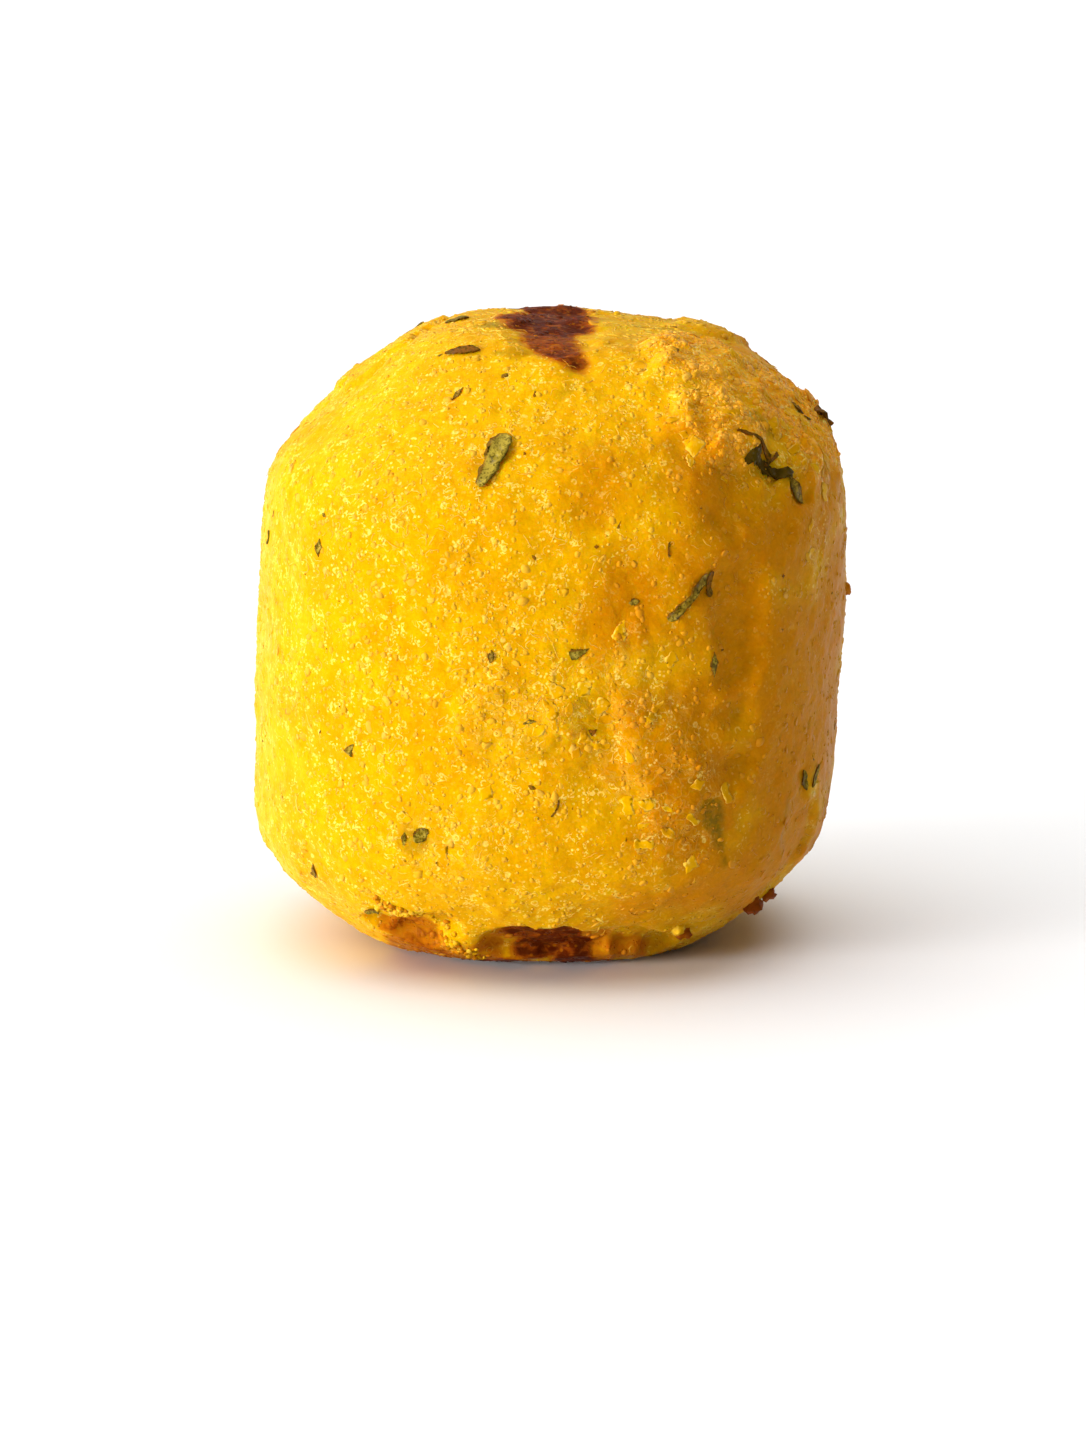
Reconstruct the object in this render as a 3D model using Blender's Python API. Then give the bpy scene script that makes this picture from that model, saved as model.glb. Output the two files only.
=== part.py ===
"""Cornmeal fritter with herbs: one fried piece that stands on its flat underside.

The fritter is one solid. Its form is a rounded block, worked out from named sizes, with lumps,
crags, flakes and hollows as relief on it. The herb flecks and crumbs that show from a step away
are fused to it.

Sizes are in millimetres until a mesh is finished. A place on the skin is given by its azimuth
and its lift in degrees, as seen from the core: azimuth 0 is the front (-Y) and grows towards the
right (+X), lift 0 is level with the core and lift 90 is the middle of the top.
"""

import math
from collections import namedtuple
from itertools import product

import bmesh
import bpy
import numpy as np
from mathutils import Vector

MM = 0.001

# Rounded block: how far each face lies from the core
HALF_WIDTH = 17.45
HALF_DEPTH = 17.0
CORE_HEIGHT = 18.4
TOP_REACH = 19.15
UNDERSIDE_REACH = 18.7
SHOULDER_REACH = 20.0
FOOT_REACH = 20.7

# Rounded block: directions, in degrees or as slopes
SHOULDER_ANGLE = 47.5
FOOT_ANGLE = 49.3
TOP_SLOPE = 0.07
UNDERSIDE_SLOPE = -0.034
LEAN = 0.045

# Rounded block: how the right side differs from the middle, and the left the other way
SHOULDER_REACH_RIGHT = 0.25
SHOULDER_ANGLE_RIGHT = -3.0

# Rounded block: how the front differs from the middle, and the back the other way
FOOT_REACH_FRONT = -0.55

# Rounded block: how squarish its plan is, and how sharply its faces meet
PLAN_POWER = 2.5
EDGE_POWER = 18.0

# Middle of the finished solid's box, seen from the core
BOX_MIDDLE_X = 0.129
BOX_MIDDLE_Y = -0.056

# Mesh of the skin
CELLS_ALONG_EDGE = 25

# Relief all over: cell size, height and seed of each kind of lump
LUMPS = ((9.0, 0.22, 3), (4.2, 0.16, 11), (2.4, 0.11, 5))

# Patches that stand proud of the skin or are sunk in it: their height, and round spots that
# make up their outline, each with its azimuth, lift and radius
Patch = namedtuple("Patch", "height spots")
CRAG = Patch(0.35, ((50, 60, 4.0), (62, 50, 4.6), (40, 45, 3.2), (76, 43, 4.2), (60, 37, 2.6)))
PATCHES = (
    CRAG,
    Patch(-0.40, ((38, 32, 2.6), (46, 30, 2.4), (33, 27, 1.8))),
    Patch(-0.35, ((47, 35, 1.3), (53, 32, 1.3))),
    Patch(0.28, ((17, -5, 2.0), (22, -12, 2.9), (24, -20, 2.2))),
    Patch(0.20, ((-13, -5, 1.7), (-4, -7, 1.9), (6, -5, 1.6))),
    Patch(-0.75, ((-5, -54, 2.4), (5, -54, 2.5), (16, -54, 2.1), (27, -53, 2.0), (38, -54, 1.8))),
    Patch(-0.85, ((-32, -49, 2.2), (-25, -47, 1.7), (-40, -46, 1.5))),
    Patch(-0.45, ((60, -30, 3.0), (61, -38, 2.6), (58, -22, 1.6))),
    Patch(0.30, ((-96, 58, 3.6), (-112, 56, 3.0))),
    Patch(0.35, ((95, 64, 2.6), (118, 62, 2.4))),
    Patch(-0.30, ((-10, 80, 3.4), (-4, 70, 2.6), (5, 62, 1.4), (170, 84, 3.2))),
)
PATCH_EDGE = 1.2
PATCH_WAVER = 0.9
PATCH_WAVER_CELL = 2.2
PATCH_WAVER_SEED = 21

# The crag's broken surface: cell size, height and seed of its lumps
CRAG_LUMPS = (1.7, 0.30, 27)

# The same kind of patches on the sides that are out of view, drawn at random
FAR_PATCHES = 9
FAR_PATCH_SEED = 8
FAR_PATCH_AZIMUTHS = (100, 290)
FAR_PATCH_LIFTS = (-45, 55)
FAR_PATCH_RADII = (1.8, 3.8)
FAR_PATCH_HEIGHTS = (-0.45, 0.45)

# Underside: no relief within this distance of the axis, and full relief this much further out
REST_RADIUS = 7.0
REST_BLEND = 2.5

# Herb flecks: azimuth, lift, length, width, heading from level and how far they stand proud
Fleck = namedtuple("Fleck", "azimuth lift length width heading proud")
FLECKS = {
    "curled_leaf": Fleck(-14.6, 40.7, 4.1, 1.5, 78, 0.45),
    "torn_strip_long": Fleck(26.2, 16.9, 3.9, 0.75, 45, 0.25),
    "torn_strip_short": Fleck(29.8, 18.0, 1.7, 0.55, 98, 0.25),
    "recess_leaf": Fleck(46.8, 34.6, 4.6, 1.05, -19, 0.30),
    "recess_tail": Fleck(53.0, 30.4, 2.6, 0.8, -45, 0.22),
    "recess_stem": Fleck(44.2, 39.6, 3.5, 0.40, -43, 0.30),
    "flat_triangle": Fleck(33.9, -25.8, 4.3, 1.4, -67, 0.15),
    "crown_leaf": Fleck(-38.4, 62.6, 2.2, 1.0, 25, 0.30),
    "crown_left": Fleck(-84.6, 71.6, 1.5, 0.9, 84, 0.20),
    "crown_right": Fleck(74.1, 72.0, 2.6, 0.8, -74, 0.20),
    "left_diamond": Fleck(-47.6, 22.2, 1.1, 0.55, 90, 0.20),
    "left_triangle": Fleck(-38.5, -12.2, 0.9, 0.7, 60, 0.20),
    "middle_star": Fleck(5.4, 7.6, 1.2, 0.7, 20, 0.20),
    "right_kite": Fleck(31.3, 4.0, 1.6, 0.8, 95, 0.20),
    "low_left_patch": Fleck(-24.8, -27.2, 1.4, 1.1, 30, 0.18),
    "low_right_v_left": Fleck(58.0, -20.8, 1.5, 0.5, 112, 0.22),
    "low_right_v_right": Fleck(61.5, -20.4, 1.5, 0.5, 62, 0.22),
    "foot_left_green": Fleck(-39.0, -42.5, 1.1, 0.6, 5, 0.25),
    "foot_left_dark": Fleck(-50.4, -34.6, 1.1, 0.6, 70, 0.22),
    "crag_green": Fleck(68.4, 43.5, 1.7, 0.7, -60, 0.22),
    "edge_sliver": Fleck(84.0, 40.5, 1.7, 0.9, -55, 0.55),
    "upper_sliver": Fleck(-29.9, 53.2, 1.1, 0.45, 75, 0.20),
}
FLECK_SUNK = 0.7
FLECK_SIDES = 6
FLECK_RINGS = 4
FLOOR_CLEARANCE = 0.3

# Herb flecks on the sides that are out of view, drawn at random
FAR_FLECKS = 17
FAR_FLECK_SEED = 14
FAR_FLECK_AZIMUTHS = (108, 252)
FAR_FLECK_LIFTS = (-38, 60)
FAR_FLECK_LENGTHS = (1.2, 4.0)
FAR_FLECK_WIDTHS = (0.5, 1.3)
FAR_FLECK_PROUD = (0.2, 0.4)

# Crumbs: azimuth, lift and radius
CRUMBS = (
    (40.4, -50.0, 0.75), (37.5, -49.0, 0.5), (59.6, -45.3, 0.85), (64.0, -43.5, 0.6),
    (-33.0, -44.0, 0.6), (-28.5, -46.0, 0.6), (-23.5, -49.5, 0.7), (-19.5, -52.0, 0.55),
    (-37.0, -46.0, 0.6), (81.6, 10.5, 0.5), (-60.0, -47.0, 0.5), (46.0, 47.0, 0.55),
    (57.0, 55.0, 0.6), (72.0, 37.0, 0.5),
)
FAR_CRUMBS = 10
FAR_CRUMB_SEED = 6
FAR_CRUMB_AZIMUTHS = (115, 245)
FAR_CRUMB_LIFTS = (-50, 50)
FAR_CRUMB_RADII = (0.4, 0.65)
CRUMB_SUNK = 0.3
CRUMB_UNEVEN = 0.18
CRUMB_SEED = 17

# Looks
FRITTER_COLOUR = (0.80, 0.38, 0.012, 1.0)
FRITTER_ROUGHNESS = 0.5

NOISE_TABLE_SIZE = 32


def random_number(values, ends):
    """The next of the drawn values, spread between two ends."""
    low, high = ends
    return low + (high - low) * next(values)


def noise(points, cell, seed):
    """Smooth random values from -1 to 1: one for each corner of a grid of cells, blended between."""
    size = NOISE_TABLE_SIZE
    table = np.random.RandomState(seed).uniform(-1, 1, (size, size, size))
    place = points / cell
    corner = np.floor(place).astype(int)
    part = place - corner
    part = part * part * (3 - 2 * part)
    total = np.zeros(place.shape[:-1])
    for step in product((0, 1), repeat=3):
        weight = np.prod(np.where(step, part, 1 - part), axis=-1)
        column, row, layer = np.moveaxis((corner + step) % size, -1, 0)
        total += weight * table[column, row, layer]
    return total


def direction(azimuth, lift):
    """Unit vectors from the core for an azimuth and a lift in degrees."""
    turn, rise = np.radians(azimuth), np.radians(lift)
    level = np.cos(rise)
    return np.stack((np.sin(turn) * level, -np.cos(turn) * level, np.sin(rise)), axis=-1)


def block_reach(towards):
    """How far the block's skin lies from the core.

    Each face says how much of its own distance a unit step uses up. The sides are a squarish
    circle in plan, and a power mean over all the faces rounds the edges between them.
    """
    x, y, z = np.moveaxis(towards, -1, 0)
    from_axis = np.maximum(np.hypot(x, y), 1e-9)
    right, front = x / from_axis, -y / from_axis
    plan = np.abs(x / HALF_WIDTH) ** PLAN_POWER + np.abs(y / HALF_DEPTH) ** PLAN_POWER
    side = plan ** (1 / PLAN_POWER)
    out = side * HALF_WIDTH
    shoulder = np.radians(SHOULDER_ANGLE + SHOULDER_ANGLE_RIGHT * right)
    foot = math.radians(FOOT_ANGLE)
    shoulder_reach = SHOULDER_REACH + SHOULDER_REACH_RIGHT * right
    foot_reach = FOOT_REACH + FOOT_REACH_FRONT * front
    faces = (
        side,
        (z + TOP_SLOPE * x) / TOP_REACH,
        (UNDERSIDE_SLOPE * x - z) / UNDERSIDE_REACH,
        (out * np.cos(shoulder) + z * np.sin(shoulder)) / shoulder_reach,
        (out * np.cos(foot) - z * np.sin(foot)) / foot_reach,
    )
    total = sum(np.maximum(face, 0) ** EDGE_POWER for face in faces)
    return total ** (-1 / EDGE_POWER)


def placed(towards, reach):
    """Points at a distance from the core, leaned to the right and set over the floor."""
    points = towards * reach[..., None]
    points[..., 0] += LEAN * points[..., 2] - BOX_MIDDLE_X
    points[..., 1] -= BOX_MIDDLE_Y
    points[..., 2] += CORE_HEIGHT
    return points


def patch_cover(points, spots):
    """1 inside a patch and 0 outside: within reach of any spot, along a wavering edge."""
    waver = PATCH_WAVER * noise(points, PATCH_WAVER_CELL, PATCH_WAVER_SEED)
    cover = np.zeros(points.shape[:-1])
    for azimuth, lift, radius in spots:
        towards = direction(azimuth, lift)
        middle = placed(towards, block_reach(towards))
        inside = radius + waver - np.linalg.norm(points - middle, axis=-1)
        cover = np.maximum(cover, np.clip(inside / PATCH_EDGE, 0, 1))
    return cover * cover * (3 - 2 * cover)


def far_patches():
    """Patches on the sides that are out of view, each of two spots that overlap."""
    values = iter(np.random.RandomState(FAR_PATCH_SEED).uniform(size=8 * FAR_PATCHES))
    patches = []
    for _ in range(FAR_PATCHES):
        azimuth = random_number(values, FAR_PATCH_AZIMUTHS)
        lift = random_number(values, FAR_PATCH_LIFTS)
        radius = random_number(values, FAR_PATCH_RADII)
        height = random_number(values, FAR_PATCH_HEIGHTS)
        second = (azimuth + 3 * radius, lift + 2 * radius, 0.7 * radius)
        patches.append(Patch(height, ((azimuth, lift, radius), second)))
    return patches


def relief(points):
    """How far the skin lies over the plain block: lumps and patches, none under the rest."""
    height = np.zeros(points.shape[:-1])
    for cell, rise, seed in LUMPS:
        height += rise * noise(points, cell, seed)
    for patch in (*PATCHES, *far_patches()):
        height += patch.height * patch_cover(points, patch.spots)
    cell, rise, seed = CRAG_LUMPS
    height += rise * noise(points, cell, seed) * patch_cover(points, CRAG.spots)
    from_axis = np.hypot(points[..., 0], points[..., 1])
    clear = np.clip((from_axis - REST_RADIUS) / REST_BLEND, 0, 1)
    return np.where(points[..., 2] < CORE_HEIGHT, clear, 1) * height


def skin(towards):
    """Points of the finished skin along unit vectors from the core, none under the floor."""
    reach = block_reach(towards)
    points = placed(towards, reach + relief(placed(towards, reach)))
    points[..., 2] = np.maximum(points[..., 2], 0)
    return points


def unit(vectors):
    """Vectors brought to length 1."""
    return vectors / np.linalg.norm(vectors, axis=-1, keepdims=True)


def from_core(points):
    """Unit vectors from the core to points near the skin, with the lean taken back out."""
    x, y, z = np.moveaxis(points, -1, 0)
    rise = z - CORE_HEIGHT
    return unit(np.stack((x + BOX_MIDDLE_X - LEAN * rise, y + BOX_MIDDLE_Y, rise), axis=-1))


def tangent_frame(azimuth, lift):
    """A point on the skin with the level and the upward unit vector along the skin there."""
    middle = skin(direction(azimuth, lift))
    level = skin(direction(azimuth + 1, lift)) - skin(direction(azimuth - 1, lift))
    upward = skin(direction(azimuth, lift + 1)) - skin(direction(azimuth, lift - 1))
    return middle, unit(level), unit(upward)


def coordinates(mesh):
    """The places of a mesh's vertices as one array."""
    return np.array([vertex.co for vertex in mesh.verts])


def move_to(mesh, points):
    """Put a mesh's vertices at new places, given in millimetres."""
    for vertex, point in zip(mesh.verts, points * MM):
        vertex.co = point


def finished_object(name, mesh, collection):
    """An object made from a mesh, as triangles that face outwards."""
    bmesh.ops.triangulate(mesh, faces=mesh.faces)
    bmesh.ops.recalc_face_normals(mesh, faces=mesh.faces)
    data = bpy.data.meshes.new(name)
    mesh.to_mesh(data)
    mesh.free()
    made = bpy.data.objects.new(name, data)
    collection.objects.link(made)
    return made


def skin_object(collection):
    """The fritter without flecks and crumbs: a cube's grid blown out to the skin."""
    mesh = bmesh.new()
    bmesh.ops.create_cube(mesh, size=2.0)
    bmesh.ops.subdivide_edges(
        mesh, edges=mesh.edges, cuts=CELLS_ALONG_EDGE - 1, use_grid_fill=True)
    even = np.tan(coordinates(mesh) * math.pi / 4)
    move_to(mesh, skin(unit(even)))
    return finished_object("fritter", mesh, collection)


def fleck_object(name, fleck, collection):
    """A herb fleck: a ball drawn out to a thin leaf that follows the skin, half sunk in it."""
    middle, level, upward = tangent_frame(fleck.azimuth, fleck.lift)
    heading = math.radians(fleck.heading)
    along = math.cos(heading) * level + math.sin(heading) * upward
    across = math.cos(heading) * upward - math.sin(heading) * level
    mesh = bmesh.new()
    bmesh.ops.create_uvsphere(
        mesh, u_segments=FLECK_SIDES, v_segments=FLECK_RINGS, radius=1.0)
    breadth, thickness, length = coordinates(mesh).T
    flat = (middle
            + along * (length * fleck.length / 2)[:, None]
            + across * (breadth * fleck.width / 2)[:, None])
    outward = from_core(flat)
    lift_off = np.where(thickness > 0, thickness * fleck.proud, thickness * FLECK_SUNK)
    points = skin(outward) + outward * lift_off[:, None]
    points[:, 2] = np.maximum(points[:, 2], FLOOR_CLEARANCE)
    move_to(mesh, points)
    return finished_object(name, mesh, collection)


def crumb_object(name, azimuth, lift, radius, uneven, collection):
    """A crumb: a small ball of uneven shape, a little more than half sunk in the skin."""
    mesh = bmesh.new()
    bmesh.ops.create_icosphere(mesh, subdivisions=1, radius=radius)
    shape = coordinates(mesh) * (1 + CRUMB_UNEVEN * uneven[:len(mesh.verts), None])
    towards = direction(azimuth, lift)
    points = skin(towards) - towards * radius * CRUMB_SUNK + shape
    points[:, 2] = np.maximum(points[:, 2], FLOOR_CLEARANCE)
    move_to(mesh, points)
    return finished_object(name, mesh, collection)


def far_flecks():
    """Herb flecks for the sides that are out of view, the longest first."""
    values = iter(np.random.RandomState(FAR_FLECK_SEED).uniform(size=8 * FAR_FLECKS))
    flecks = []
    for _ in range(FAR_FLECKS):
        flecks.append(Fleck(
            azimuth=random_number(values, FAR_FLECK_AZIMUTHS),
            lift=random_number(values, FAR_FLECK_LIFTS),
            length=random_number(values, FAR_FLECK_LENGTHS),
            width=random_number(values, FAR_FLECK_WIDTHS),
            heading=random_number(values, (0, 180)),
            proud=random_number(values, FAR_FLECK_PROUD)))
    return sorted(flecks, key=lambda fleck: -fleck.length)


def far_crumbs():
    """Crumbs for the sides that are out of view."""
    values = iter(np.random.RandomState(FAR_CRUMB_SEED).uniform(size=8 * FAR_CRUMBS))
    return [(random_number(values, FAR_CRUMB_AZIMUTHS),
             random_number(values, FAR_CRUMB_LIFTS),
             random_number(values, FAR_CRUMB_RADII))
            for _ in range(FAR_CRUMBS)]


def add_toppings(collection):
    """All the flecks and crumbs that are fused to the fritter."""
    for name, fleck in FLECKS.items():
        fleck_object(name, fleck, collection)
    for number, fleck in enumerate(far_flecks()):
        fleck_object(f"far_fleck_{number}", fleck, collection)
    uneven = np.random.RandomState(CRUMB_SEED).uniform(-1, 1, (64, 16))
    crumbs = (*CRUMBS, *far_crumbs())
    for number, (azimuth, lift, radius) in enumerate(crumbs):
        crumb_object(f"crumb_{number}", azimuth, lift, radius, uneven[number], collection)


def fuse(body, toppings):
    """Join the toppings to the body by one union, then remove what was joined."""
    union = body.modifiers.new("fused toppings", "BOOLEAN")
    union.operation = "UNION"
    union.operand_type = "COLLECTION"
    union.collection = toppings
    union.solver = "MANIFOLD"
    bpy.context.view_layer.update()
    graph = bpy.context.evaluated_depsgraph_get()
    joined = bpy.data.meshes.new_from_object(body.evaluated_get(graph))
    body.modifiers.remove(union)
    body.data = joined
    for topping in list(toppings.objects):
        bpy.data.objects.remove(topping, do_unlink=True)
    bpy.data.collections.remove(toppings)


def connected_faces(mesh):
    """The mesh's faces in groups that hang together, one group for each closed skin."""
    waiting = set(mesh.faces)
    groups = []
    while waiting:
        group = set()
        edge_of_group = [waiting.pop()]
        while edge_of_group:
            face = edge_of_group.pop()
            group.add(face)
            for edge in face.edges:
                for neighbour in edge.link_faces:
                    if neighbour in waiting:
                        waiting.remove(neighbour)
                        edge_of_group.append(neighbour)
        groups.append(group)
    return groups


def fill_hollows(body):
    """Keep the outer skin alone: hollows that the toppings seal are filled, scraps dropped."""
    mesh = bmesh.new()
    mesh.from_mesh(body.data)
    groups = sorted(connected_faces(mesh), key=len)
    spare = [face for group in groups[:-1] for face in group]
    corners = {corner for face in spare for corner in face.verts}
    bmesh.ops.delete(mesh, geom=list(corners), context="VERTS")
    mesh.to_mesh(body.data)
    mesh.free()


def stand_on_origin(body):
    """Set the middle of the solid's box over the origin and its flat underside on the floor."""
    corners = [Vector(corner) for corner in body.bound_box]
    low = Vector(map(min, zip(*corners)))
    high = Vector(map(max, zip(*corners)))
    middle = (low + high) / 2
    for vertex in body.data.vertices:
        vertex.co -= Vector((middle.x, middle.y, low.z))


def fritter_material():
    """Warm yellow cornmeal with a soft sheen."""
    material = bpy.data.materials.new("fritter")
    material.use_nodes = True
    shader = material.node_tree.nodes["Principled BSDF"]
    shader.inputs["Base Color"].default_value = FRITTER_COLOUR
    shader.inputs["Roughness"].default_value = FRITTER_ROUGHNESS
    shader.inputs["Metallic"].default_value = 0.0
    material.diffuse_color = FRITTER_COLOUR
    return material


def main():
    for old in list(bpy.data.objects):
        bpy.data.objects.remove(old, do_unlink=True)
    parts = bpy.data.collections.new("cornmeal_fritter")
    toppings = bpy.data.collections.new("toppings")
    bpy.context.scene.collection.children.link(parts)
    bpy.context.scene.collection.children.link(toppings)
    body = skin_object(parts)
    add_toppings(toppings)
    fuse(body, toppings)
    fill_hollows(body)
    stand_on_origin(body)
    body.data.materials.clear()
    body.data.materials.append(fritter_material())
    body.data.shade_smooth()


main()
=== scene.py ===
"""Looks of a cornmeal fritter with herbs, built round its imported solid.

The body follows the same rounded block, lumps and patches as the solid, with finer relief, and
replaces it. Meal grains, clear grains, wet curls, herb flecks and crumbs lie on its skin as
pieces of their own. Sizes are in millimetres until a mesh is finished. A place on the skin is
given by its azimuth and its lift in degrees, as seen from the core: azimuth 0 is the front (-Y)
and grows towards the right (+X), lift 0 is level with the core, lift 90 the middle of the top.
"""

import math
from collections import namedtuple
from functools import lru_cache
from itertools import product
from types import SimpleNamespace

import bpy
import numpy as np
from bpy.props import FloatProperty, FloatVectorProperty, IntProperty, PointerProperty
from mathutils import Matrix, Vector


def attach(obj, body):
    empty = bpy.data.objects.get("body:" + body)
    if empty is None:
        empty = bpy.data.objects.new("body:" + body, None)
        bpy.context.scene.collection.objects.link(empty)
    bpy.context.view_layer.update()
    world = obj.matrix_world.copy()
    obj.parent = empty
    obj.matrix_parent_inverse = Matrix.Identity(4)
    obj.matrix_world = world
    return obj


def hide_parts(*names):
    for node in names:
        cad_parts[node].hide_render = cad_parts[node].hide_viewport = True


bl_info = {
    "name": "Cornmeal Fritter",
    "version": (1, 0, 0),
    "blender": (4, 5, 0),
    "location": "3D View > Sidebar > Fritter",
    "description": "Builds the look of a cornmeal fritter with herbs round its solid",
    "category": "Add Mesh",
}

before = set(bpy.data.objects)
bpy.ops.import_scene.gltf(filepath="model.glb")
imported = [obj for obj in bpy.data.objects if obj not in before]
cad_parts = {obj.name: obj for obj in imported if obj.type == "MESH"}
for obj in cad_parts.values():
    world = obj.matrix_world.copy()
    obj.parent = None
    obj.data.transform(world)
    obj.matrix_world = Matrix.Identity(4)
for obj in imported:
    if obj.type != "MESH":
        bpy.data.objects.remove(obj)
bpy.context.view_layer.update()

MM = 0.001
BODY = "root"
NODE = "fritter"

# Rounded block: distances of its faces from the core, in millimetres
HALF_WIDTH = 17.45
HALF_DEPTH = 17.0
CORE_HEIGHT = 18.4
TOP_REACH = 19.15
UNDERSIDE_REACH = 18.7
SHOULDER_REACH = 20.0
FOOT_REACH = 20.7

# Rounded block: angles in degrees, slopes, and how the right and the front differ
SHOULDER_ANGLE = 47.5
FOOT_ANGLE = 49.3
TOP_SLOPE = 0.07
UNDERSIDE_SLOPE = -0.034
LEAN = 0.045
SHOULDER_REACH_RIGHT = 0.25
SHOULDER_ANGLE_RIGHT = -3.0
FOOT_REACH_FRONT = -0.55
PLAN_POWER = 2.5
EDGE_POWER = 18.0
BOX_MIDDLE_X = 0.129
BOX_MIDDLE_Y = -0.056

# Relief that the solid has too: cell size, height and seed of the lumps, and the patches
LUMPS = ((9.0, 0.22, 3), (4.2, 0.16, 11), (2.4, 0.11, 5))
Patch = namedtuple("Patch", "height edge spots")
SOFT = 1.5
CRISP = 0.3
FIRM = 0.8
CRAG = Patch(0.35, SOFT, (
    (50, 60, 4.0), (62, 50, 4.6), (40, 45, 3.2), (76, 43, 4.2), (60, 37, 2.6)))
PATCHES = (
    CRAG,
    Patch(-0.40, SOFT, ((38, 32, 2.6), (46, 30, 2.4), (33, 27, 1.8))),
    Patch(-0.35, CRISP, ((47, 35, 1.3), (53, 32, 1.3))),
    Patch(0.28, SOFT, ((17, -5, 2.0), (22, -12, 2.9), (24, -20, 2.2))),
    Patch(0.20, CRISP, ((-13, -5, 1.7), (-4, -7, 1.9), (6, -5, 1.6))),
    Patch(-0.75, FIRM, (
        (-5, -54, 2.4), (5, -54, 2.5), (16, -54, 2.1), (27, -53, 2.0), (38, -54, 1.8))),
    Patch(-0.85, FIRM, ((-32, -49, 2.2), (-25, -47, 1.7), (-40, -46, 1.5))),
    Patch(-0.45, SOFT, ((60, -30, 3.0), (61, -38, 2.6), (58, -22, 1.6))),
    Patch(0.30, CRISP, ((-96, 58, 3.6), (-112, 56, 3.0))),
    Patch(0.35, SOFT, ((95, 64, 2.6), (118, 62, 2.4))),
    Patch(-0.30, SOFT, ((-10, 80, 3.4), (-4, 70, 2.6), (5, 62, 1.4), (170, 84, 3.2))),
)
PATCH_WAVER = (2.2, 0.9, 21)
CRAG_LUMPS = (1.7, 0.20, 27)
# Out of view: number and seed, and between what azimuth, lift, radius and height are drawn
FAR_PATCHES = (9, 8, (100, 290), (-45, 55), (1.8, 3.8), (-0.45, 0.45))
REST_RADIUS = 7.0
REST_BLEND = 2.5
NOISE_TABLE_SIZE = 32

# Finer relief, which the fine mesh carries
FINE_WAVER = (0.8, 0.35, 22)
FOOT_WAVER = 0.35
FOOT_WAVER_HEIGHT = 3
FOOT_WAVER_BLEND = 4
FINE_LUMPS = ((1.3, 0.055, 31), (0.8, 0.050, 37), (0.5, 0.055, 43))
CRAG_FINE_LUMPS = (0.85, 0.10, 41)
LEDGES = (
    Patch(-0.65, 2.2, (
        (35, 18, 2.6), (35, 11, 2.8), (36, 3, 2.3), (37, -6, 2.2), (38, -14, 2.0))),
    Patch(0.55, 4.4, ((40, 51, 5.2), (47, 58, 4.6))),
    Patch(0.07, CRISP, ((32, 45, 1.6), (37, 42.5, 1.5), (41, 40, 1.2), (28, 50, 1.8))),
    Patch(0.05, CRISP, ((16, -4, 1.5), (19, -9, 1.7), (17, -14, 1.4))),
    Patch(0.05, CRISP, ((24, -14, 1.4), (27, -19, 1.5), (21, -20, 1.2))),
    Patch(-0.06, CRISP, ((12, -8, 1.0), (11, -13, 1.2))),
    Patch(0.06, CRISP, ((-35, 60, 2.0), (-28, 66, 1.8))),
    Patch(0.05, CRISP, ((-10, -30, 2.2), (0, -33, 1.8))),
    Patch(0.06, CRISP, ((56, 16, 1.5), (60, 8, 1.4))),
    Patch(0.05, CRISP, ((-50, -8, 2.0), (-44, -14, 1.6))),
    Patch(0.08, CRISP, ((-8, 2, 1.3), (-2, 3, 1.1), (3, -1, 1.2))),
)
PLATE_CELL = 2.6
PLATE_SEED = 51
PLATE_WARP = (1.5, 0.9, 53)
PLATE_HEIGHT = 0.03
FLAKY_PLATE_HEIGHT = 0.06
CRAG_PLATE_HEIGHT = 0.12
FLAKY_SPOTS = (
    (20, -12, 4.6), (8, -6, 3.6), (-8, -6, 3.4), (14, 2, 3.0), (26, -24, 3.4), (-20, -30, 4.0),
    (60, 20, 3.2), (150, 10, 5.0), (205, -15, 5.5), (255, 25, 5.0), (120, -25, 4.0),
)
CRAG_EDGE = 1.6
FLAKY_EDGE = 2.5

# Browned skin: spots and how deep their brown is, from 0 to 1
Browning = namedtuple("Browning", "depth spots")
BROWNINGS = (
    Browning(1.0, (
        (-60, 79.0, 1.7), (-45, 80, 2.2), (-14, 79, 2.0), (14, 83, 1.9), (0, 90, 2.9),
        (185, 80, 2.9), (200, 72, 3.2), (178, 70, 2.4))),
    Browning(0.80, (
        (-12, 75.5, 1.9), (-8, 72.0, 1.8), (-5.5, 69.4, 1.75), (-3.2, 67.2, 1.75),
        (-0.9, 65.6, 1.75), (1.4, 64.4, 1.7), (3.6, 63.4, 1.55), (5.4, 62.8, 1.35))),
    Browning(0.95, (
        (-7, -53.6, 1.4), (-1, -53.3, 1.8), (5, -52.5, 1.8), (11, -53.3, 1.6), (0, -57, 2.4),
        (8, -57, 2.4), (15, -57, 1.7))),
    Browning(0.42, (
        (-12.5, -56.2, 1.4), (-16.4, -58.2, 1.8), (-19, -60.4, 1.8), (14.5, -53.6, 1.7),
        (19.5, -54.6, 1.9), (25, -54.6, 1.6), (30, -53.6, 1.3), (20, -59, 2.6), (30, -58, 2.2))),
    Browning(1.0, ((-9, -64, 2.0), (13, -62, 2.2), (23, -64, 1.8), (0, -90, 9.8))),
    Browning(0.55, (
        (-36, -46, 1.5), (-39, -49, 1.7), (-34, -50, 1.8), (-42, -55, 2.2), (-35, -56, 2.1),
        (-46, -60.5, 2.5), (-38, -62, 2.2), (-30, -59, 1.7), (-29, -63, 1.8))),
)
BROWNING_EDGE = 1.1
BROWNING_WAVER = 0.8
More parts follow.
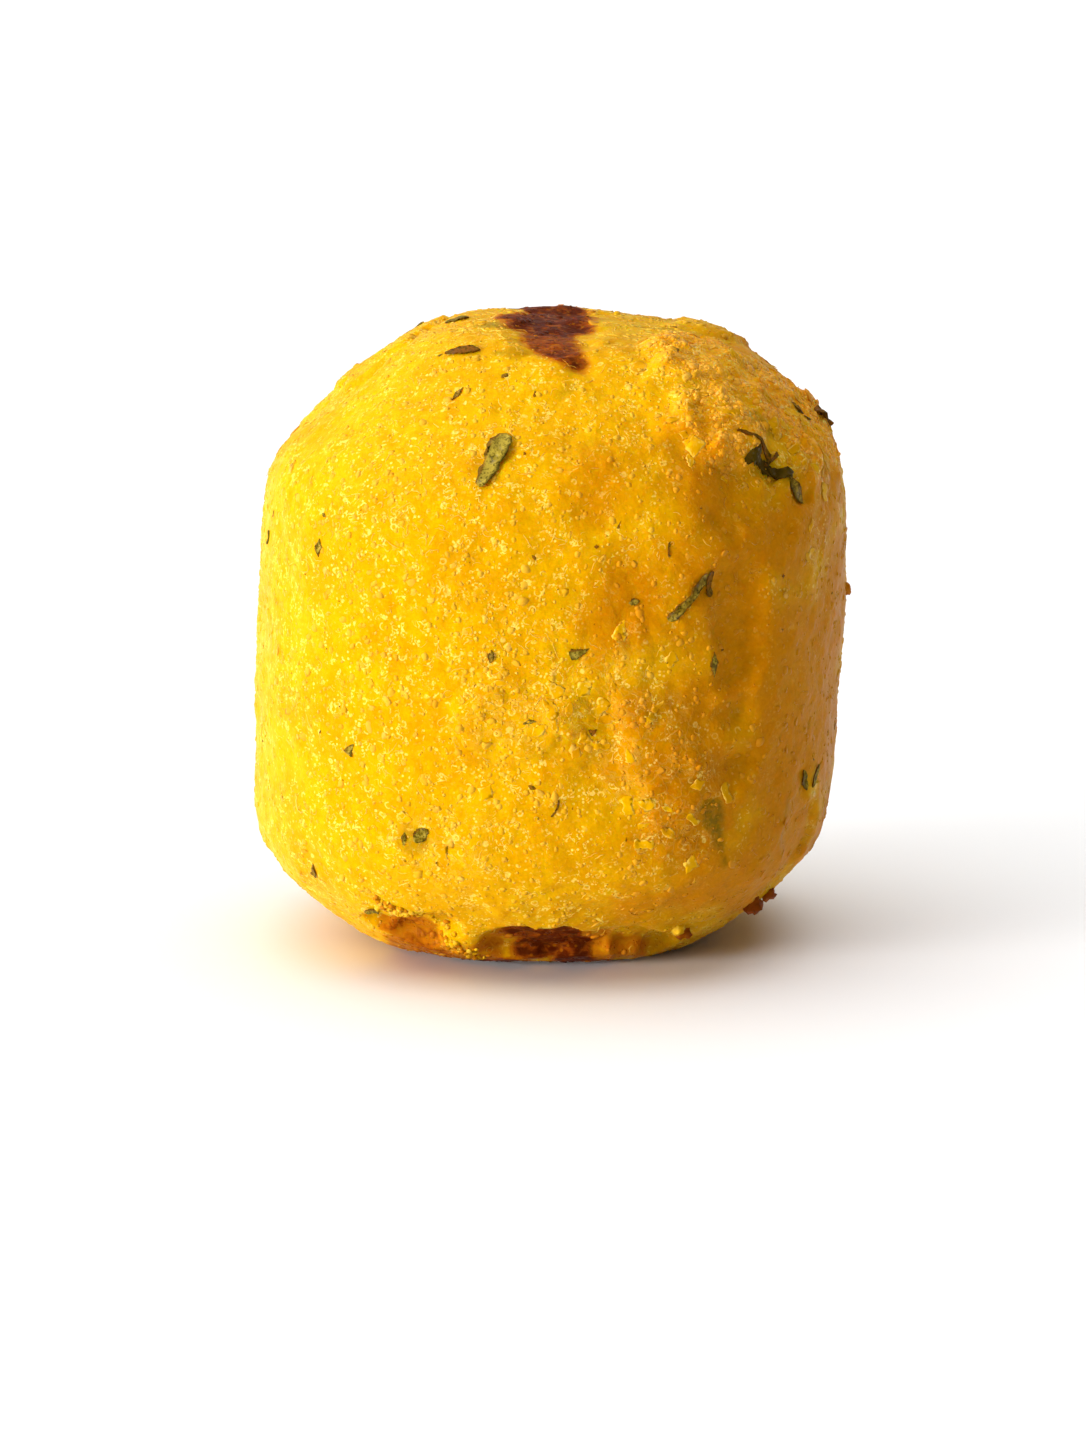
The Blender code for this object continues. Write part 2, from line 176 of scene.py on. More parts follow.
# Smooth skin with painted shade: orange-brown over the shaded right side and the crag's top edge
AMBER_AND_SHADE_SPOTS = (
    (10, 38, 4.6), (14, 17, 5.2), (30, 34, 5.0), (33, 22, 6.0), (34, 10, 6.5), (32, -2, 6.0),
    (28, -14, 5.6), (28, -24, 5.8), (32, -36, 6.0), (50, 0, 7.5), (50, -15, 7.0), (52, -32, 7.5),
    (48, 24, 6.5), (66, 30, 5.5), (70, 10, 7.5), (72, -15, 7.0), (74, -34, 6.5), (92, 22, 5.5),
    (100, 2, 6.5), (97, -22, 5.5), (17, -4, 3.6), (15, -14, 3.2), (60, -5, 7.0), (76, 58, 4.6),
    (62, 46, 5.0), (96, 55, 4.4), (86, 38, 5.0), (112, 12, 4.4), (112, -12, 4.4),
)
AMBER_EDGE = 4.5
AMBER_WAVER = 2
BROWN_FIBRES = (0.7, 0.08, 61)
BROWN_FIBRE_STRETCH = (0.45, 1.0, 1.0)
BROWN_FIBRE_START = 0.5
BROWN_FIBRE_BLEND = 0.4

# Herb flecks: place, size, heading, how far they stand proud, outline and how brown they are
Fleck = namedtuple("Fleck", "azimuth lift length width heading proud outline brown")
FLECKS = [Fleck(*row) for row in (
    (-14.6, 40.7, 3.9, 1.25, 79, 0.42, "paddle", -0.8),
    (25.6, 16.4, 3.4, 0.62, 47, 0.22, "strip", 0.40),
    (29.8, 18.4, 1.5, 0.45, 98, 0.22, "strip", 0.75),
    (42.6, 37.4, 1.7, 0.85, -8, 0.36, "leaf", 2.00),
    (45.6, 35.9, 1.9, 0.80, -38, 0.34, "leaf", 1.90),
    (48.9, 34.6, 1.9, 0.70, -18, 0.36, "leaf", 2.00),
    (52.4, 31.6, 2.3, 0.80, -58, 0.30, "leaf", 0.45),
    (47.8, 37.0, 1.3, 0.26, 24, 0.26, "strip", 1.20),
    (44.2, 39.8, 3.1, 0.24, -43, 0.24, "strip", 0.90),
    (-38.4, 62.6, 2.2, 0.8, 25, 0.22, "leaf", 1.0),
    (-84.6, 71.6, 1.5, 0.9, 84, 0.16, "leaf", 0.40),
    (-47.6, 22.2, 1.1, 0.55, 90, 0.14, "diamond", 0.25),
    (-38.5, -12.2, 0.8, 0.7, 60, 0.12, "wedge", 0.35),
    (5.4, 7.6, 1.2, 0.7, 20, 0.14, "wedge", 0.20),
    (31.3, 4.0, 1.6, 0.7, 95, 0.14, "diamond", 0.20),
    (-24.0, -26.6, 1.2, 0.8, 40, 0.12, "leaf", 0.10),
    (-27.3, -27.2, 0.8, 0.3, 88, 0.12, "leaf", 0.30),
    (58.0, -20.8, 1.5, 0.5, 112, 0.18, "leaf", 0.15),
    (61.5, -20.4, 1.5, 0.5, 62, 0.18, "leaf", 0.15),
    (-39.0, -42.5, 1.1, 0.6, 5, 0.20, "leaf", 0.20),
    (-50.4, -34.6, 1.0, 0.6, 70, 0.16, "wedge", 0.55),
    (68.4, 43.5, 1.7, 0.6, -60, 0.16, "leaf", 0.60),
    (84.0, 40.5, 1.7, 0.9, -55, 0.50, "wedge", 1.00),
    (-29.9, 53.2, 1.1, 0.40, 75, 0.12, "diamond", 0.55),
    (15.4, 16.6, 0.65, 0.4, 10, 0.10, "leaf", 0.40),
    (-11.5, 6.7, 0.8, 0.35, 85, 0.12, "leaf", 0.50),
    (8.8, -7.8, 0.5, 0.45, 30, 0.10, "wedge", 1.00),
    (21.4, 24.8, 0.9, 0.16, 88, 0.08, "strip", 0.80),
    (2.3, -22.0, 1.2, 0.14, 70, 0.08, "strip", 0.70),
    (-71.0, 21.3, 0.9, 0.35, 80, 0.12, "strip", 0.15),
    (7.7, 26.3, 0.3, 0.25, 0, 0.08, "diamond", 0.90),
    (45.8, 17.9, 0.35, 0.3, 0, 0.08, "diamond", 0.90),
    (-3.6, -5.7, 0.8, 0.22, 15, 0.08, "leaf", 0.35),
)]
# Herb under the skin, which shows through it as a stain: proud says how strong it is
SUNK_FLECKS = [Fleck(*row) for row in (
    (33.9, -25.8, 4.4, 1.6, -67, 0.95, "wedge", 0.30),
    (-49.0, 74.0, 2.2, 1.3, 30, 0.80, "leaf", 0.20),
    (-20.7, 64.6, 2.4, 1.1, 20, 0.55, "leaf", 0.10),
    (74.1, 73.0, 2.8, 0.6, -74, 0.60, "strip", 0.05),
    (1.1, 56.1, 1.5, 0.7, 80, 0.45, "leaf", 0.35),
    (-25.6, -27.6, 2.4, 1.9, 10, 0.45, "leaf", 0.10),
    (0.7, 7.2, 1.4, 0.35, 88, 0.55, "strip", 0.20),
    (51.0, -27.3, 1.9, 0.5, 85, 0.50, "strip", 0.30),
    (-30.4, 28.4, 0.9, 0.5, 70, 0.45, "leaf", 0.20),
    (48.0, 43.5, 2.6, 1.6, -30, 0.50, "leaf", 0.30),
    (150.0, 20.0, 3.0, 1.4, 40, 0.70, "wedge", 0.30),
    (215.0, -10.0, 2.6, 1.2, 110, 0.60, "leaf", 0.30),
    (255.0, 35.0, 2.8, 1.0, 20, 0.60, "strip", 0.30),
)]
STAIN_WAVER = (0.6, 0.22, 83)
STAIN_EDGE = 0.45
# Out of view: number, seed, azimuths, lifts, lengths, widths, headings and how proud
FAR_FLECKS = (17, 14, (108, 252), (-38, 60), (1.2, 4.0), (0.5, 1.3), (0, 180), (0.2, 0.4))
FAR_FLECK_BROWN_STEP = 0.37
# Specks: azimuth, sine of the lift, share of the longest, slimness, heading and brown
SPECKS = (150, 71, (-180, 180), (-0.75, 0.95), (0, 1), (0.3, 0.9), (0, 180), (0.35, 1.0))
SPECK_SHORTEST = 0.12
SPECK_LONGER = 0.45
SPECK_PROUD = 0.07
# Meal flakes: spot, how far out, turn, length, slimness, heading, how proud and amber
MEAL_FLAKES = (
    130, 91, (0, 1), (0, 1), (0, 2 * math.pi), (0.5, 1.5), (0.4, 0.8), (0, 180), (0.05, 0.13),
    (0, 1))
OUTLINES = ("leaf", "strip", "wedge", "diamond")
SPECK_OUTLINES = ("leaf", "wedge", "diamond")
FLECK_TORN = 0.30
FLECK_BEND = 0.10
FLECK_LOWEST = 0.02
# Each piece of flecks: stations, sides, seed and how much the edges curl up
FLECK_FORM = (14, 12, 131, 0.5)
SPECK_FORM = (4, 6, 139, 0.2)
FLAKE_FORM = (9, 10, 161, 0.4)
SPECK_DEPTH = 0.1

# Crumbs: azimuth, lift, radius and how brown they are
CRUMBS = (
    (40.4, -50.0, 0.60, 0.65), (37.5, -49.0, 0.45, 0.05),
    (59.6, -45.3, 0.70, 0.80), (64.0, -43.5, 0.50, 0.70),
    (81.6, 10.5, 0.40, 0.50), (136.0, 76.3, 0.22, 0.0),
)
# Out of view: number, seed, azimuths, lifts and radii
FAR_CRUMBS = (10, 6, (115, 245), (-50, 50), (0.4, 0.65))
FAR_CRUMB_BROWN = 0.3
LOOSE_CRUMB_SPOTS = (
    (-34.5, -40.5, 0.9), (-31, -42.7, 0.9), (-28.5, -45.0, 1.0), (-27.3, -47.6, 1.0),
    (-26.6, -50.1, 1.0), (-24.5, -53.0, 1.0), (-22, -55.6, 1.0), (-20.6, -58.6, 0.9),
    (-39, -49, 0.6),
)
LOOSE_CRUMBS = 150
LOOSE_CRUMB_RADII = (0.09, 0.25)
LOOSE_CRUMB_EDGE = 0.8
LOOSE_CRUMB_SEED = 149
LOOSE_CRUMB_BROWNS = (0.0, 0.1, 0.35)
CRUMB_FLATNESS = 0.9
CRUMB_SUNK = 0.1
CRUMB_SIDES = 10
CRUMB_RINGS = 7
CRUMB_SEED = 157

# Small things drawn at random over the skin: their form, where they gather and their look
GrainKind = namedtuple(
    "GrainKind",
    "name seed sides rings flatness sunk tilt even plain crag flaky pale roughness wet")
GRAIN_KINDS = (
    GrainKind("fine_grains", 101, 5, 2, 0.35, 0.2, 0, 0.5, 1.0, 0.9, 0.2, 0.30, 0.3, 0.15),
    GrainKind("clear_grains", 103, 8, 4, 0.35, 0.5, 15, 0.8, 1.0, 0.5, 0.5, 0.10, 0.3, 0.10),
    GrainKind("films", 107, 9, 3, 0.18, 0.7, 20, 0.05, 1.0, 2.0, 0.5, 0.15, 0.28, 0.15),
    GrainKind("skin_lumps", 167, 6, 3, 0.58, 0.42, 8, 0.8, 1.0, 0.6, 0.2, 0.12, 0.32, 0.10),
    GrainKind("crag_grains", 173, 9, 4, 0.34, 0.50, 25, 0.3, 0.01, 1.0, 0.04, 0.20, 0.20, 0.42),
)
GRAIN_UNEVEN = (0.72, 1.28)
GRAIN_STRETCH = (0.7, 1.3)
# Where small things gather: cell size, contrast and middle share of the clusters
GRAIN_CLUSTERS = (3.5, 1.3, 0.4)
CURL_CLUSTERS = (3.0, 1.4, 0.3)
CURLS = GrainKind("curls", 113, 3, 7, 1.0, 0.0, 0, 0.3, 1.0, 4.5, 0.6, 0.45, 0.25, 0.2)
CURL_WIDTH = 0.065
CURL_PROUD = 0.15
CURL_WANDER = 0.35
LOOP_SHARE = 0.3
LOOP_BEND = 5.2

OIL_TINT = (1.0, 0.70, 0.02, 1.0)
OIL_INDEX = 1.45
WET_INDEX = 1.7
WET_ROUGHNESS = 0.25
# Light that enters the skin: how much, how far red goes in millimetres, and each colour's share
SKIN_CLEAR = 0.5
SKIN_REACH = 1.3
SKIN_REACH_SHARES = (1.0, 0.15, 0.04)

# Camera and photo frame
PHOTO_HEIGHT_PIXELS = 1448
MM_PER_PIXEL = 0.0605
CAMERA_ELEVATION = 12.0
FOCAL_LENGTH = 140.0
SENSOR_SIZE = 36.0
AIM_X = -0.51
AIM_Z = 12.9
FLOOR_HALF = 3.0

# Suns: how wide they are, and where the two that only reflections show stand, in degrees
SIDE_SPREAD = 28
TOP_SPREAD = 90
SHEEN_ELEVATION = 90
SHEEN_SPREAD = 180
GLEAM_ELEVATION = 35
GLEAM_SPREAD = 80


# Form of the fritter

def drawn(count, seed, *ends):
    """Rows of random numbers, with each column spread evenly between its two ends."""
    low, high = np.transpose(ends)
    return low + (high - low) * np.random.RandomState(seed).uniform(size=(count, len(ends)))


def smooth(values):
    """Values clipped to 0 and 1, with soft ends: three squares less two cubes."""
    clipped = np.clip(values, 0, 1)
    return clipped * clipped * (3 - 2 * clipped)


def noise(points, cell, seed):
    """Smooth values from -1 to 1: a random one at each corner of a grid, blended between."""
    size = NOISE_TABLE_SIZE
    table = np.random.RandomState(seed).uniform(-1, 1, (size, size, size))
    place = points / cell
    corner = np.floor(place).astype(int)
    part = smooth(place - corner)
    total = np.zeros(place.shape[:-1])
    for step in product((0, 1), repeat=3):
        weight = np.prod(np.where(step, part, 1 - part), axis=-1)
        column, row, layer = np.moveaxis((corner + step) % size, -1, 0)
        total += weight * table[column, row, layer]
    return total


def lumps(points, kind):
    """Noise of a kind, which gives its cell size, height and seed."""
    cell, height, seed = kind
    return height * noise(points, cell, seed)


def plates(points, cell, seed):
    """Flat plates with straight edges: each point takes the random height of the nearest seed.

    One seed lies somewhere in each cell of a grid, and the cell of a point and the 26 round it
    are searched.
    """
    size = NOISE_TABLE_SIZE
    values = np.random.RandomState(seed)
    offsets = values.uniform(size=(size, size, size, 3))
    heights = values.uniform(-1, 1, (size, size, size))
    place = points / cell
    corner = np.floor(place).astype(int)
    nearest = np.full(place.shape[:-1], np.inf)
    height = np.zeros(place.shape[:-1])
    for step in product((-1, 0, 1), repeat=3):
        column, row, layer = np.moveaxis((corner + step) % size, -1, 0)
        seeds = corner + step + offsets[column, row, layer]
        gap = np.linalg.norm(place - seeds, axis=-1)
        height = np.where(gap < nearest, heights[column, row, layer], height)
        nearest = np.minimum(gap, nearest)
    return height


def unit(vectors):
    """Vectors brought to length 1."""
    return vectors / np.linalg.norm(vectors, axis=-1, keepdims=True)


def direction(azimuth, lift):
    """Unit vectors from the core for an azimuth and a lift in degrees."""
    turn, rise = np.radians(azimuth), np.radians(lift)
    level = np.cos(rise)
    return np.stack((np.sin(turn) * level, -np.cos(turn) * level, np.sin(rise)), axis=-1)


def block_reach(towards):
    """How far the block's skin lies from the core.

    Each face says how much of its own distance a unit step uses up. The sides are a squarish
    circle in plan, and a power mean over all the faces rounds the edges between them.
    """
    x, y, z = np.moveaxis(towards, -1, 0)
    from_axis = np.maximum(np.hypot(x, y), 1e-9)
    right, front = x / from_axis, -y / from_axis
    plan = np.abs(x / HALF_WIDTH) ** PLAN_POWER + np.abs(y / HALF_DEPTH) ** PLAN_POWER
    side = plan ** (1 / PLAN_POWER)
    out = side * HALF_WIDTH
    shoulder = np.radians(SHOULDER_ANGLE + SHOULDER_ANGLE_RIGHT * right)
    foot = math.radians(FOOT_ANGLE)
    shoulder_reach = SHOULDER_REACH + SHOULDER_REACH_RIGHT * right
    foot_reach = FOOT_REACH + FOOT_REACH_FRONT * front
    faces = (
        side,
        (z + TOP_SLOPE * x) / TOP_REACH,
        (UNDERSIDE_SLOPE * x - z) / UNDERSIDE_REACH,
        (out * np.cos(shoulder) + z * np.sin(shoulder)) / shoulder_reach,
        (out * np.cos(foot) - z * np.sin(foot)) / foot_reach,
    )
    total = sum(np.maximum(face, 0) ** EDGE_POWER for face in faces)
    return total ** (-1 / EDGE_POWER)


def placed(towards, reach):
    """Points at a distance from the core, leaned to the right and set over the floor."""
    points = towards * reach[..., None]
    points[..., 0] += LEAN * points[..., 2] - BOX_MIDDLE_X
    points[..., 1] -= BOX_MIDDLE_Y
    points[..., 2] += CORE_HEIGHT
    return points


def from_core(points):
    """Unit vectors from the core to points near the skin, with the lean taken back out."""
    x, y, z = np.moveaxis(points, -1, 0)
    rise = z - CORE_HEIGHT
    return unit(np.stack((x + BOX_MIDDLE_X - LEAN * rise, y + BOX_MIDDLE_Y, rise), axis=-1))


def plain(towards):
    """Points of the plain block along unit vectors from the core."""
    return placed(towards, block_reach(towards))


def plain_spot(azimuth, lift):
    """Points of the plain block at an azimuth and a lift in degrees."""
    return plain(direction(azimuth, lift))


def cover(points, spots, waver, edge):
    """1 inside a patch and 0 outside: within reach of any spot, along a wavering edge."""
    inside = np.full(points.shape[:-1], -np.inf)
    for azimuth, lift, radius in spots:
        distance = np.linalg.norm(points - plain_spot(azimuth, lift), axis=-1)
        inside = np.maximum(inside, radius - distance)
    return smooth((inside + waver) / edge)


def far_patches():
    """Patches on the sides that are out of view, each of two spots that overlap."""
    return [
        Patch(height, SOFT, (
            (azimuth, lift, radius),
            (azimuth + 3 * radius, lift + 2 * radius, 0.7 * radius)))
        for azimuth, lift, radius, height in drawn(*FAR_PATCHES)]


def zones(points):
    """What the skin is like at points of the plain block: each zone's share, from 0 to 1."""
    waver = lumps(points, PATCH_WAVER)
    browned = np.zeros(points.shape[:-1])
    for browning in BROWNINGS:
        found = cover(points, browning.spots, BROWNING_WAVER * waver, BROWNING_EDGE)
        browned = np.maximum(browned, browning.depth * found)
    return {
        "crag": cover(points, CRAG.spots, waver, CRAG_EDGE),
        "flaky": cover(points, FLAKY_SPOTS, waver, FLAKY_EDGE),
        # Orange-brown painted shade on the shaded side, where the skin is also smooth
        "amber": cover(points, AMBER_AND_SHADE_SPOTS, AMBER_WAVER * waver, AMBER_EDGE),
        "browned": browned,
        "stain": stains(points),
    }


def stains(points):
    """How much herb shows through the skin: the strength inside a sunken fleck, 0 outside."""
    waver = lumps(points, STAIN_WAVER)
    stain = np.zeros(points.shape[:-1])
    for fleck in SUNK_FLECKS:
        middle, along, across = fleck_axes(fleck)
        offset = points - middle
        run = np.clip(offset @ along / fleck.length + 0.5, 0, 1)
        inside = outline_of(fleck.outline, run) * fleck.width / 2 - np.abs(offset @ across)
        near = np.linalg.norm(offset, axis=-1) < fleck.length
        found = fleck.proud * smooth((inside + waver) / STAIN_EDGE + 0.5)
        stain = np.maximum(stain, np.where(near, found, 0))
    return stain


def relief(points):
    """How far the skin lies over the plain block.

    The sum of the lumps, the patches and the crag's lumps that the solid has too, and of finer
    lumps, of thin plates that flake, and of the fibres of the browned skin. There is none under
    the rest.
    """
    waver = lumps(points, PATCH_WAVER) + lumps(points, FINE_WAVER)
    over_foot = smooth((points[..., 2] - FOOT_WAVER_HEIGHT) / FOOT_WAVER_BLEND)
    waver *= FOOT_WAVER + (1 - FOOT_WAVER) * over_foot
    found = zones(points)
    height = sum(lumps(points, kind) for kind in (*LUMPS, *FINE_LUMPS))
    for patch in (*PATCHES, *LEDGES, *far_patches()):
        height += patch.height * cover(points, patch.spots, waver, patch.edge)
    for kind in (CRAG_LUMPS, CRAG_FINE_LUMPS):
        height += lumps(points, kind) * found["crag"]
    warp_cell, warp, warp_seed = PLATE_WARP
    bent = points + warp * np.stack(
        [noise(points, warp_cell, warp_seed + axis) for axis in range(3)], axis=-1)
    plate_height = PLATE_HEIGHT + FLAKY_PLATE_HEIGHT * found["flaky"]
    height += plate_height * plates(bent, PLATE_CELL, PLATE_SEED)
    height += CRAG_PLATE_HEIGHT * found["crag"] * plates(bent, PLATE_CELL / 2, PLATE_SEED + 1)
    dark = smooth((found["browned"] - BROWN_FIBRE_START) / BROWN_FIBRE_BLEND)
    height += dark * lumps(points * BROWN_FIBRE_STRETCH, BROWN_FIBRES)
    from_axis = np.hypot(points[..., 0], points[..., 1])
    clear = np.clip((from_axis - REST_RADIUS) / REST_BLEND, 0, 1)
    return np.where(points[..., 2] < CORE_HEIGHT, clear, 1) * height


def skin(towards):
    """Points of the finished skin along unit vectors from the core, none under the floor."""
    reach = block_reach(towards)
    points = placed(towards, reach + relief(placed(towards, reach)))
    points[..., 2] = np.maximum(points[..., 2], 0)
    return points


def tangent_frame(azimuth, lift):
    """Points on the plain block with the level and the upward unit vectors along it there."""
    level = plain_spot(azimuth + 1, lift) - plain_spot(azimuth - 1, lift)
    upward = plain_spot(azimuth, lift + 1) - plain_spot(azimuth, lift - 1)
    return plain_spot(azimuth, lift), unit(level), unit(upward)


def fleck_axes(fleck):
    """The middle of a fleck on the plain block, and unit vectors along and across it."""
    middle, level, upward = tangent_frame(fleck.azimuth, fleck.lift)
    heading = math.radians(fleck.heading)
    along = math.cos(heading) * level + math.sin(heading) * upward
    across = math.cos(heading) * upward - math.sin(heading) * level
    return middle, along, across


# Meshes from arrays

def cube_grid(cells):
    """A cube's six faces as square grids whose shared edges are one row of points.

    Returns whole-number grid places from 0 to cells on each axis, one for each point, and the
    quads. A face runs along two axes, turned so that their cross product points outwards.
    """
    steps = np.arange(cells + 1)
    across, along = np.meshgrid(steps, steps, indexing="ij")
    flat = np.arange((cells + 1) ** 2).reshape(cells + 1, cells + 1)
    quads_of_face = np.stack(
        (flat[:-1, :-1], flat[1:, :-1], flat[1:, 1:], flat[:-1, 1:]), axis=-1).reshape(-1, 4)
    places, quads = [], []
    for axis, side in product(range(3), (0, cells)):
        face = np.empty((cells + 1, cells + 1, 3), dtype=int)
        face[..., axis] = side
        face[..., (axis + 1) % 3] = across
        face[..., (axis + 2) % 3] = along
        turned = quads_of_face if side else quads_of_face[:, ::-1]
        quads.append(turned + len(places) * flat.size)
        places.append(face.reshape(-1, 3))
    places, shared = np.unique(np.concatenate(places), axis=0, return_inverse=True)
    return places, shared.reshape(-1)[np.concatenate(quads)]


def tube_faces(count, rings, sides):
    """Triangles of closed tubes, each of rings round a path with a point at both ends."""
    size = rings * sides + 2
    ring = np.arange(rings - 1)[:, None] * sides
    side = np.arange(sides)
    after = (side + 1) % sides
    a, b = ring + side, ring + after
    c, d = a + sides, b + sides
    walls = np.concatenate((np.stack((a, b, d), -1).reshape(-1, 3),
                            np.stack((a, d, c), -1).reshape(-1, 3)))
    last = (rings - 1) * sides
    start = np.full(sides, size - 2)
    end = np.full(sides, size - 1)
    caps = np.concatenate((np.stack((start, after, side), -1),
                           np.stack((end, last + side, last + after), -1)))
    one = np.concatenate((walls, caps))
    return (one + np.arange(count)[:, None, None] * size).reshape(-1, 3)


def tube_points(rings, ends, lowest=0.0):
    """Points of closed tubes from (count, rings, sides, 3) and (count, 2, 3), in face order.

    Points that would lie lower than the lowest height are raised to it.
    """
    points = np.concatenate((rings.reshape(len(rings), -1, 3), ends), axis=1).reshape(-1, 3)
    points[:, 2] = np.maximum(points[:, 2], lowest)
    return points


def add_piece(name, points, faces, material, values=None, shades=True):
    """A finished object from points in millimetres, its faces, and a value at each point.

    Bits so thin and clear that light goes through them shade nothing.
    """
    mesh = bpy.data.meshes.new(name)
    corners = faces.shape[1]
    mesh.vertices.add(len(points))
    mesh.loops.add(faces.size)
    mesh.polygons.add(len(faces))
    mesh.vertices.foreach_set("co", (points * MM).astype(np.float32).ravel())
    mesh.loops.foreach_set("vertex_index", faces.astype(np.int32).ravel())
    mesh.polygons.foreach_set("loop_start", np.arange(len(faces), dtype=np.int32) * corners)
    mesh.update(calc_edges=True)
    for value_name, numbers in (values or {}).items():
        attribute = mesh.attributes.new(value_name, "FLOAT", "POINT")
        attribute.data.foreach_set("value", numbers.astype(np.float32))
    mesh.validate()
    mesh.shade_smooth()
    mesh.materials.append(material)
    made = bpy.data.objects.new(name, mesh)
    made.visible_shadow = shades
    bpy.context.scene.collection.objects.link(made)
    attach(made, BODY)
    return made


@lru_cache
def body_surface(cells):
    """Points, quads and zones of the fine skin: a cube's grid, evened out and blown to it."""
    places, quads = cube_grid(cells)
    towards = unit(np.tan((2 * places / cells - 1) * math.pi / 4))
    return skin(towards), quads, zones(plain(towards))


def scattered(cells, count, seed, weigh):
    """Places drawn at random over the skin, with an outward and two tangent vectors, and zones.

    A quad is drawn by its area times a weight that depends on its zones, and a place in it
    evenly. The drawing is seeded.
    """
    points, quads, found = body_surface(cells)
    a, b, c, d = (points[quads[:, corner]] for corner in range(4))
    cross = np.cross(c - a, d - b)
    middle_zones = {name: share[quads].mean(axis=1) for name, share in found.items()}
    chance = np.linalg.norm(cross, axis=1) * weigh((a + b + c + d) / 4, middle_zones)
    values = np.random.RandomState(seed)
    chosen = values.choice(len(quads), size=count, p=chance / chance.sum())
    u, v = values.uniform(size=(2, count, 1))
    first = a[chosen] * (1 - u) + b[chosen] * u
    second = d[chosen] * (1 - u) + c[chosen] * u
    outward = unit(cross[chosen])
    along = unit(np.cross(outward, unit(values.normal(size=(count, 3)))))
    frames = (first * (1 - v) + second * v, outward, along, np.cross(outward, along))
    return frames, {name: share[chosen] for name, share in middle_zones.items()}


def grains(frames, radii, flatness, sunk, sides, rings, seed):
    """Small uneven balls at places on the skin.

    A ball's point lies at turn and lift: along by cos turn cos lift, across by sin turn cos
    lift and outwards by sin lift, each times its radius, an uneven factor, and outwards also
    times the flatness. Odd rings are turned by half a side.
    """
    places, outward, along, across = frames
    count = len(places)
    values = np.random.RandomState(seed)
    lift = math.pi * ((np.arange(rings) + 1) / (rings + 1) - 0.5)
    half_side = 0.5 * (np.arange(rings)[:, None] % 2)
    turn = 2 * math.pi * (np.arange(sides)[None, :] + half_side) / sides
    uneven = values.uniform(*GRAIN_UNEVEN, (count, rings, sides, 1))
    uneven *= radii[:, None, None, None]
    stretch = values.uniform(*GRAIN_STRETCH, (count, 1, 1, 1))
    level = np.cos(lift)[:, None]

    def spread(vectors, share):
        return vectors[:, None, None, :] * share[None, :, :, None]

    ball = (spread(along, np.cos(turn) * level) * stretch
            + spread(across, np.sin(turn) * level)
            + spread(outward, np.sin(lift)[:, None] * np.ones_like(turn)) * flatness) * uneven
    middle = places - outward * (sunk * flatness * radii)[:, None]
    pole = outward * (flatness * radii)[:, None]
    ends = np.stack((middle - pole, middle + pole), axis=1)
    points = tube_points(middle[:, None, None, :] + ball, ends)
    return points, tube_faces(count, rings, sides)


def each_point(values, rings, sides):
    """A value for each copy, repeated for each point of its tube."""
    return np.repeat(values, rings * sides + 2)


def curls(frames, lengths, widths, bends, kind):
    """Thin bent threads that lie on the skin.

    A thread's heading turns evenly from its middle by its bend and wanders a little; its places
    are the running sum of the headings. Round each place lies a ring, as wide as the thread and
    thinning towards both ends by the root of one less the square of the way out.
    """
    places, outward, along, across = frames
    stations, sides = kind.rings, kind.sides
    values = np.random.RandomState(kind.seed + 3)
    run = (np.arange(stations) + 0.5) / stations - 0.5
    wander = values.normal(scale=CURL_WANDER, size=(len(places), stations))
    heading = bends[:, None] * run[None, :] + np.cumsum(wander, axis=1)
    step = lengths[:, None] / stations
    forward = np.cumsum(np.cos(heading) * step, axis=1)
    aside = np.cumsum(np.sin(heading) * step, axis=1)
    forward -= forward.mean(axis=1, keepdims=True)
    aside -= aside.mean(axis=1, keepdims=True)
    path = (places[:, None, :] + along[:, None, :] * forward[..., None]
            + across[:, None, :] * aside[..., None])
    path = path + outward[:, None, :] * (CURL_PROUD * widths)[:, None, None]
    normal_aside = (across[:, None, :] * np.cos(heading)[..., None]
                    - along[:, None, :] * np.sin(heading)[..., None])
    thin = np.sqrt(np.clip(1 - (2.1 * np.abs(run)) ** 2, 0.05, 1))
    half = widths[:, None] / 2 * thin[None, :]
    turn = 2 * math.pi * np.arange(sides) / sides + math.pi / 2
    ring_points = (path[:, :, None, :]
                   + normal_aside[:, :, None, :] * (half[:, :, None] * np.cos(turn))[..., None]
                   + outward[:, None, None, :] * (half[:, :, None] * np.sin(turn))[..., None])
    tip = np.stack((2 * path[:, 0] - path[:, 1], 2 * path[:, -1] - path[:, -2]), axis=1)
    ends = path[:, [0, -1]] * 0.5 + tip * 0.5
    return tube_points(ring_points, ends), tube_faces(len(places), stations, sides)


def outline_of(name, run):
    """Half width of a fleck along its run from 0 to 1, for each name of an outline."""
    ends = np.sqrt(np.clip(1 - (2 * run - 1) ** 8, 0, 1))
    if name == "leaf":
        return np.sin(math.pi * run) ** 0.75
    if name == "strip":
        return ends * (0.86 + 0.14 * np.cos(7 * run))
    if name == "paddle":
        return ends * (0.62 + 0.38 * run)
    if name == "wedge":
        return ends * (1.08 - run)
    return ends * (1 - np.abs(2.2 * run - 1.1))


